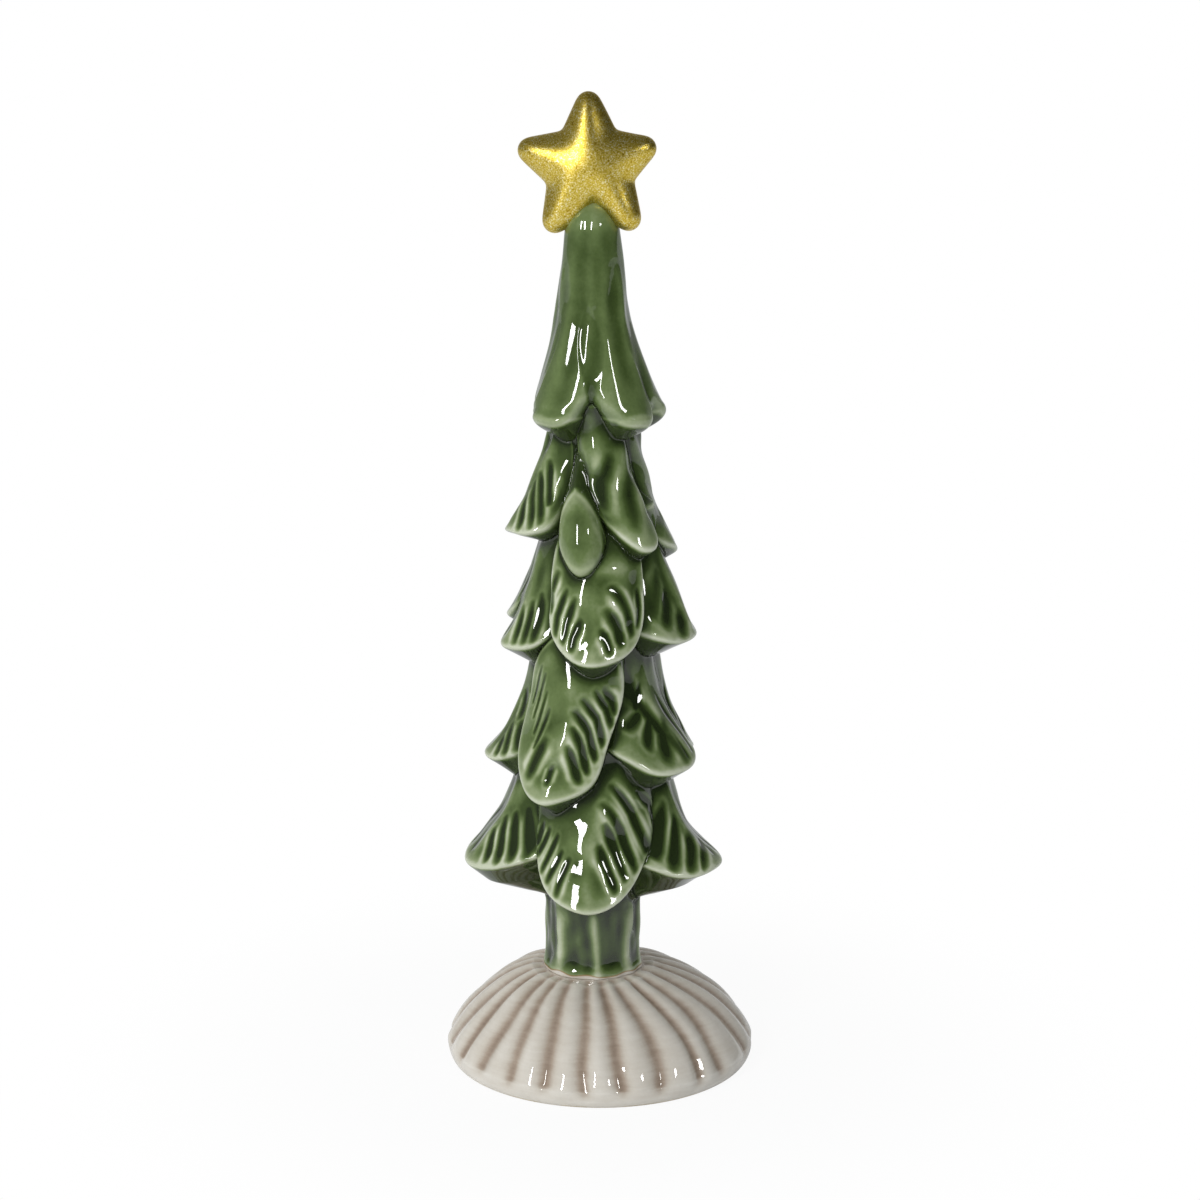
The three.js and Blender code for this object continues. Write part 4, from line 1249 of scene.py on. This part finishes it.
def groove_field(azimuth, radius, height):
    """Share of the full depth to which the flutes are pressed in at each place."""
    grooves = np.zeros((len(height), BASE_COLUMNS))
    draw = np.random.default_rng(9)
    for middle in groove_azimuths():
        wander = FLUTE_WANDER * np.sin(height / FLUTE_WANDER_LENGTH + draw.uniform(0, TURN))
        turn = turn_from(wander, azimuth - middle)
        half = np.minimum(FLUTE_HALF, radius * TURN / GROOVE_COUNT * FLUTE_SHARE)
        across = np.abs(turn) * radius / (half * draw.uniform(*FLUTE_WIDTHS))
        low = draw.uniform(*FLUTE_LOW_ENDS)
        ends = smooth(height, *(low + place for place in FLUTE_END_FADE))
        grooves += np.exp(-across ** FLUTE_ROUND) * ends * draw.uniform(*FLUTE_STRENGTHS)
    return grooves


def base_outside(azimuth, outline):
    """Points of the fluted dome, whose axis leans over to the tree's towards the top, and its grooves."""
    radius, height = outline[:, :1], outline[:, 1:]
    slope = np.gradient(outline, axis=0)
    slope /= np.linalg.norm(slope, axis=1, keepdims=True)
    out_r, out_z = -slope[:, 1:], slope[:, :1]
    grooves = groove_field(azimuth, radius, height)
    fade = smooth(radius, *(TRUNK_FOOT_RADIUS + place for place in FLUTE_TOP_FADE))
    lumps = DOME_LUMPS * waves(azimuth, height, length=11, seed=51)
    sink = FLUTE_DEPTH * grooves * (0.5 + 0.5 * fade) + DOME_SINK + lumps
    sink = sink * smooth(height, 0, CALM_FOOT)
    shift = TREE_OFFSET * smooth(radius, LEAN_FROM_RADIUS, LEAN_TO_RADIUS)
    return on_axis(azimuth, radius - sink * out_r, height - sink * out_z, shift), grooves


def base_underside(azimuth):
    """Points of the foot ring, the hollow, the socket and the land, in order from the outside."""
    inner = FOOT_RADIUS - FOOT_RING_WIDTH
    ceiling = LAND_HEIGHT - BASE_WALL
    start = max(HOLLOW_START, dome_turn(inner, BASE_RADIUS - BASE_WALL))
    wall = zip(*dome_point(np.linspace(start, HOLLOW_END, HOLLOW_ROWS), BASE_WALL))
    corner = 0.25
    path = [
        (FOOT_RADIUS - corner, 0, 0), (inner + corner, 0, 0), (inner, corner, 0),
        *((min(inner, r), min(z, ceiling), 0.0) for r, z in wall),
        (SOCKET_RADIUS + SOCKET_CHAMFER, ceiling, TREE_OFFSET),
        (SOCKET_RADIUS, ceiling + corner, TREE_OFFSET),
        (SOCKET_RADIUS, LAND_HEIGHT - corner, TREE_OFFSET),
        (SOCKET_RADIUS + corner, LAND_HEIGHT, TREE_OFFSET), (TRUNK_FOOT_RADIUS, LAND_HEIGHT, TREE_OFFSET),
    ]
    return np.array([on_axis(azimuth[0], r, z, shift) for r, z, shift in path])


def build_base(materials):
    azimuth = (np.arange(BASE_COLUMNS) * TURN / BASE_COLUMNS)[None, :]
    outside, grooves = base_outside(azimuth, base_outline())
    points = np.concatenate([outside, base_underside(azimuth)])
    quads = grid_faces(np.ones(points.shape[:2]), len(points))[:, ::-1]
    piece = make_piece("base_dome_glazed", points.reshape(-1, 3), [quads],
                       [materials["greige"], materials["clay"]])
    normals = -grid_normals(points)
    depth = np.full(points.shape[:2], UNDERSIDE_DEPTH)
    proud = proudness(outside, normals[:len(outside)], BASE_SPREAD, BASE_SPREAD_STEP)
    shade = GROOVE_SHADE * np.clip(grooves, 0, 1)
    depth[:len(outside)] = BASE_DEPTH + shade - relief_depth(proud, BASE_RELIEF)
    set_value(piece, "glaze_and_shade", depth.ravel())
    foot = points[..., 2] < BARE_BELOW
    bare = (foot & np.roll(foot, -1, 0)).ravel().astype(np.int32)
    piece.data.polygons.foreach_set("material_index", bare)
    finish_piece(piece, "greige_glaze", "base_dome")


# Star
STAR_TIP_RADIUS = 19.4
STAR_WAIST_RADIUS = 8.1
STAR_ARM_ROUND = 3.3
STAR_THICKNESS = 13.4
STAR_ARMS = 5
STAR_ROLL = 2.5
STAR_HEIGHT = CONE_TOP + 7.9
STAR_SPOKES = 360
STAR_RINGS = 60
STAR_SOFTENING = 0.5
HALVINGS = 40
NOTCH_DROP = 8.9
NOTCH_SLOPE = 0.92
NOTCH_SIDE = 0.9
RIGHT_ARM_SHORTER = 0.08
RIGHT_ARM = 1.2
RIGHT_ARM_HALF = 0.5
STAR_LEAN = 7
STAR_TURN = 7
STAR_LEFT = 0.6
STAR_GROWTH = 1.01


def outside_star(x, z):
    """Distance outside a sharp star whose outline, moved out by the arms' rounding, is the real one."""
    sector = TURN / STAR_ARMS
    angle = np.arctan2(x, z)
    folded = np.abs(angle - sector * np.round(angle / sector))
    reach = np.hypot(x, z)
    tip = STAR_TIP_RADIUS - STAR_ARM_ROUND
    waist = STAR_WAIST_RADIUS * np.array([math.sin(sector / 2), math.cos(sector / 2)])
    edge = (waist - [0, tip]) / np.linalg.norm(waist - [0, tip])
    beside, along = reach * np.sin(folded), reach * np.cos(folded) - tip
    past_tip = beside * edge[0] + along * edge[1] < 0
    return np.where(past_tip, np.hypot(beside, along), -beside * edge[1] + along * edge[0])


def star_puff(x, z, rim):
    """Half thickness of a cushion filled inside the outline, thin where the outline is near."""
    reach = np.hypot(x[..., None] - rim[:, 0], z[..., None] - rim[:, 1]).clip(1e-3)
    step = np.linalg.norm(rim - np.roll(rim, 1, 0), axis=1)
    near = (step * reach ** -3).sum(-1) ** -0.5
    share = near / near.max()
    return STAR_THICKNESS / 2 * share.clip(0) ** 0.5


def notch_reach(across, up):
    """Distance at which each spoke of the star meets the notch that the cone's tip fills."""
    start = NOTCH_SLOPE * NOTCH_DROP
    slopes = np.stack([-NOTCH_SLOPE * up - across, -NOTCH_SLOPE * up + across])
    starts = np.array([start - NOTCH_SIDE, start + NOTCH_SIDE])[:, None, None]
    return np.where(slopes > 1e-3, starts / slopes.clip(1e-3), FAR_AWAY).max(0)


def star_reach(angle, across, up):
    """Length of each spoke of the star from its middle to its outline, found by halving."""
    low, high = np.zeros(angle.shape), np.full(angle.shape, STAR_TIP_RADIUS + 1)
    for _ in range(HALVINGS):
        middle = (low + high) / 2
        inside = outside_star(across * middle, up * middle) < STAR_ARM_ROUND
        low, high = np.where(inside, middle, low), np.where(inside, high, middle)
    low = low * (1 - RIGHT_ARM_SHORTER * bell(angle - RIGHT_ARM, RIGHT_ARM_HALF))
    return np.minimum(low, notch_reach(across, up))


def star_grid():
    """Rings of points from the middle of the star's front over its outline to the middle of its back."""
    angle = (np.arange(STAR_SPOKES) * TURN / STAR_SPOKES)[None, :]
    across, up = np.sin(angle), np.cos(angle)
    reach = star_reach(angle, across, up)
    share = np.sin(np.linspace(0, math.pi / 2, STAR_RINGS))[1:, None]
    x, z = across * reach * share, up * reach * share
    thick = star_puff(x, z, np.stack([across * reach, up * reach], -1)[0])
    thick[-1] = 0
    front = np.stack([x, -thick, z], -1)
    back = np.stack([x, thick, z], -1)[-2::-1]
    points = spread(np.concatenate([front, back]), STAR_SOFTENING, SPREAD_STEP)
    return points * [STAR_GROWTH, 1, STAR_GROWTH]


def turned(points, first, second, degrees):
    """Points turned from the second axis towards the first."""
    bend = math.radians(degrees)
    a, b = points[:, first], points[:, second]
    moved = points.copy()
    moved[:, first] = a * math.cos(bend) + b * math.sin(bend)
    moved[:, second] = b * math.cos(bend) - a * math.sin(bend)
    return moved


def build_star(materials):
    points = star_grid()
    rows, spokes = len(points), np.arange(STAR_SPOKES)
    right = (spokes + 1) % STAR_SPOKES
    quads = grid_faces(np.ones((rows - 1, STAR_SPOKES)), rows)
    last, pole = (rows - 1) * STAR_SPOKES, np.full(STAR_SPOKES, rows * STAR_SPOKES)
    front_fan = np.stack([pole, right, spokes], 1)
    back_fan = np.stack([last + spokes, last + right, pole + 1], 1)
    poles = points[[0, -1]].mean(1) * [0, 1, 0]
    flat = np.concatenate([points.reshape(-1, 3), poles])
    for first, second, degrees in ((0, 2, -STAR_ROLL), (1, 2, STAR_LEAN), (0, 1, STAR_TURN)):
        flat = turned(flat, first, second, degrees)
    flat += [TREE_OFFSET - STAR_LEFT, 0, STAR_HEIGHT]
    piece = make_piece("gold_star_lustre", flat, [quads, front_fan, back_fan], [materials["gold"]])
    finish_piece(piece, "gold_lustre", "gold_star")


# Floor, light and camera
AIM_M = (0, 0, 0.13)
FLOOR_HALF = 20 / MM
FLOOR_COLOUR = grey(0.86)
FLOOR_MIRRORED = 0.2
CONTACT_STOPS = [(0.05, grey(0.93)), (0.16, grey(1))]
ROOM_STOPS = [
    (0.0, (0.55, 0.56, 0.57, 1)), (0.3, (0.42, 0.43, 0.44, 1)), (0.62, (0.2, 0.21, 0.22, 1)),
    (1.0, (0.1, 0.11, 0.12, 1)),
]
BACK_STOPS = [(0.75, grey(0)), (0.95, grey(1))]
BACK_COLOUR = grey(0.9)
ROOM_LIGHT = 1.5
GLOSS_LESS = 1.15
LAMPS = {
    "key_softbox": dict(azimuth=-34, elevation=25, width=0.11, height=0.46, radiance=30),
    "small_softbox": dict(azimuth=42, elevation=28, width=0.13, height=0.15, radiance=23),
}
LAMP_DISTANCE_M = 1.1


def place_round(azimuth, elevation, distance):
    """Place at the given angles and distance from the middle of the tree."""
    turn, rise = math.radians(azimuth), math.radians(elevation)
    return Vector(AIM_M) + distance * Vector((
        math.sin(turn) * math.cos(rise), -math.cos(turn) * math.cos(rise), math.sin(rise)))


def add_lamp(name, azimuth, elevation, width, height, radiance):
    lamp = bpy.data.lights.new(name, "AREA")
    lamp.shape = "RECTANGLE"
    lamp.size, lamp.size_y = width, height
    lamp.energy = radiance * math.pi * width * height
    holder = bpy.data.objects.new(name, lamp)
    bpy.context.scene.collection.objects.link(holder)
    holder.location = place_round(azimuth, elevation, LAMP_DISTANCE_M)
    holder.rotation_mode = "QUATERNION"
    holder.rotation_quaternion = (Vector(AIM_M) - holder.location).to_track_quat("-Z", "Y")


def seen_directly(nodes, path):
    return nodes.math("MAXIMUM", path.outputs["Is Camera Ray"], path.outputs["Is Transmission Ray"])


def build_floor():
    """White floor that takes a soft shadow, shown a little darker round the tree's foot."""
    corners = FLOOR_HALF * np.array([[-1, -1, 0], [1, -1, 0], [1, 1, 0], [-1, 1, 0]])
    material, nodes = new_material("floor_white")
    path = nodes.add("ShaderNodeLightPath")
    plain = nodes.add("ShaderNodeBsdfDiffuse", {"Color": FLOOR_COLOUR})
    bright = nodes.add("ShaderNodeEmission", {"Color": grey(1), "Strength": 1.0})
    place = nodes.add("ShaderNodeNewGeometry").outputs["Position"]
    away = nodes.add("ShaderNodeVectorMath", {0: place}, operation="LENGTH").outputs["Value"]
    seen = nodes.math("MULTIPLY", seen_directly(nodes, path), nodes.ramp(away, CONTACT_STOPS))
    mirrored = nodes.math("MULTIPLY", path.outputs["Is Glossy Ray"], FLOOR_MIRRORED)
    share = nodes.math("MAXIMUM", seen, mirrored)
    nodes.finish("ShaderNodeMixShader", {0: share, 1: plain.outputs[0], 2: bright.outputs[0]})
    make_piece("floor", corners, [np.array([[0, 1, 2, 3]])], [material])


def build_world():
    """White where the camera looks, and for light and gloss a room that is darker on the right."""
    world = bpy.data.worlds.new("studio")
    bpy.context.scene.world = world
    nodes = Nodes(world)
    path = nodes.add("ShaderNodeLightPath")
    direction = nodes.add("ShaderNodeTexCoord").outputs["Generated"]
    parts = nodes.add("ShaderNodeSeparateXYZ", {0: direction})
    rightward, backward = (nodes.math("MULTIPLY_ADD", part, 0.5, 0.5) for part in parts.outputs[:2])
    side = nodes.ramp(rightward, ROOM_STOPS)
    room = nodes.mix(nodes.ramp(backward, BACK_STOPS), side, BACK_COLOUR)
    less = nodes.math("MULTIPLY", path.outputs["Is Glossy Ray"], GLOSS_LESS)
    level = nodes.math("SUBTRACT", ROOM_LIGHT, less)
    level = nodes.add("ShaderNodeCombineXYZ", {0: level, 1: level, 2: level}).outputs[0]
    room = nodes.mix(1.0, room, level, "MULTIPLY")
    colour = nodes.mix(seen_directly(nodes, path), room, grey(1))
    nodes.finish("ShaderNodeBackground", {"Color": colour, "Strength": 1.0}, "ShaderNodeOutputWorld")


def build_camera():
    camera = bpy.data.cameras.new("camera")
    camera.sensor_width = SENSOR
    camera.lens = FOCAL_PIXELS * SENSOR / IMAGE_PIXELS
    camera.clip_end = 100
    holder = bpy.data.objects.new("camera", camera)
    bpy.context.scene.collection.objects.link(holder)
    holder.location = (0, -CAMERA_DISTANCE_M, CAMERA_HEIGHT_M)
    holder.rotation_euler = (math.radians(90 - CAMERA_PITCH), 0, 0)
    bpy.context.scene.camera = holder


MATERIALS = {
    "green": green_glaze(), "trunk": trunk_glaze(), "greige": greige_glaze(), "clay": bare_clay(),
    "gold": gold_lustre(),
}
build_tree(MATERIALS)
build_base(MATERIALS)
build_star(MATERIALS)
build_floor()
build_world()
build_camera()
for lamp_name, look in LAMPS.items():
    add_lamp(lamp_name, **look)
bpy.context.scene.view_settings.view_transform = "Standard"
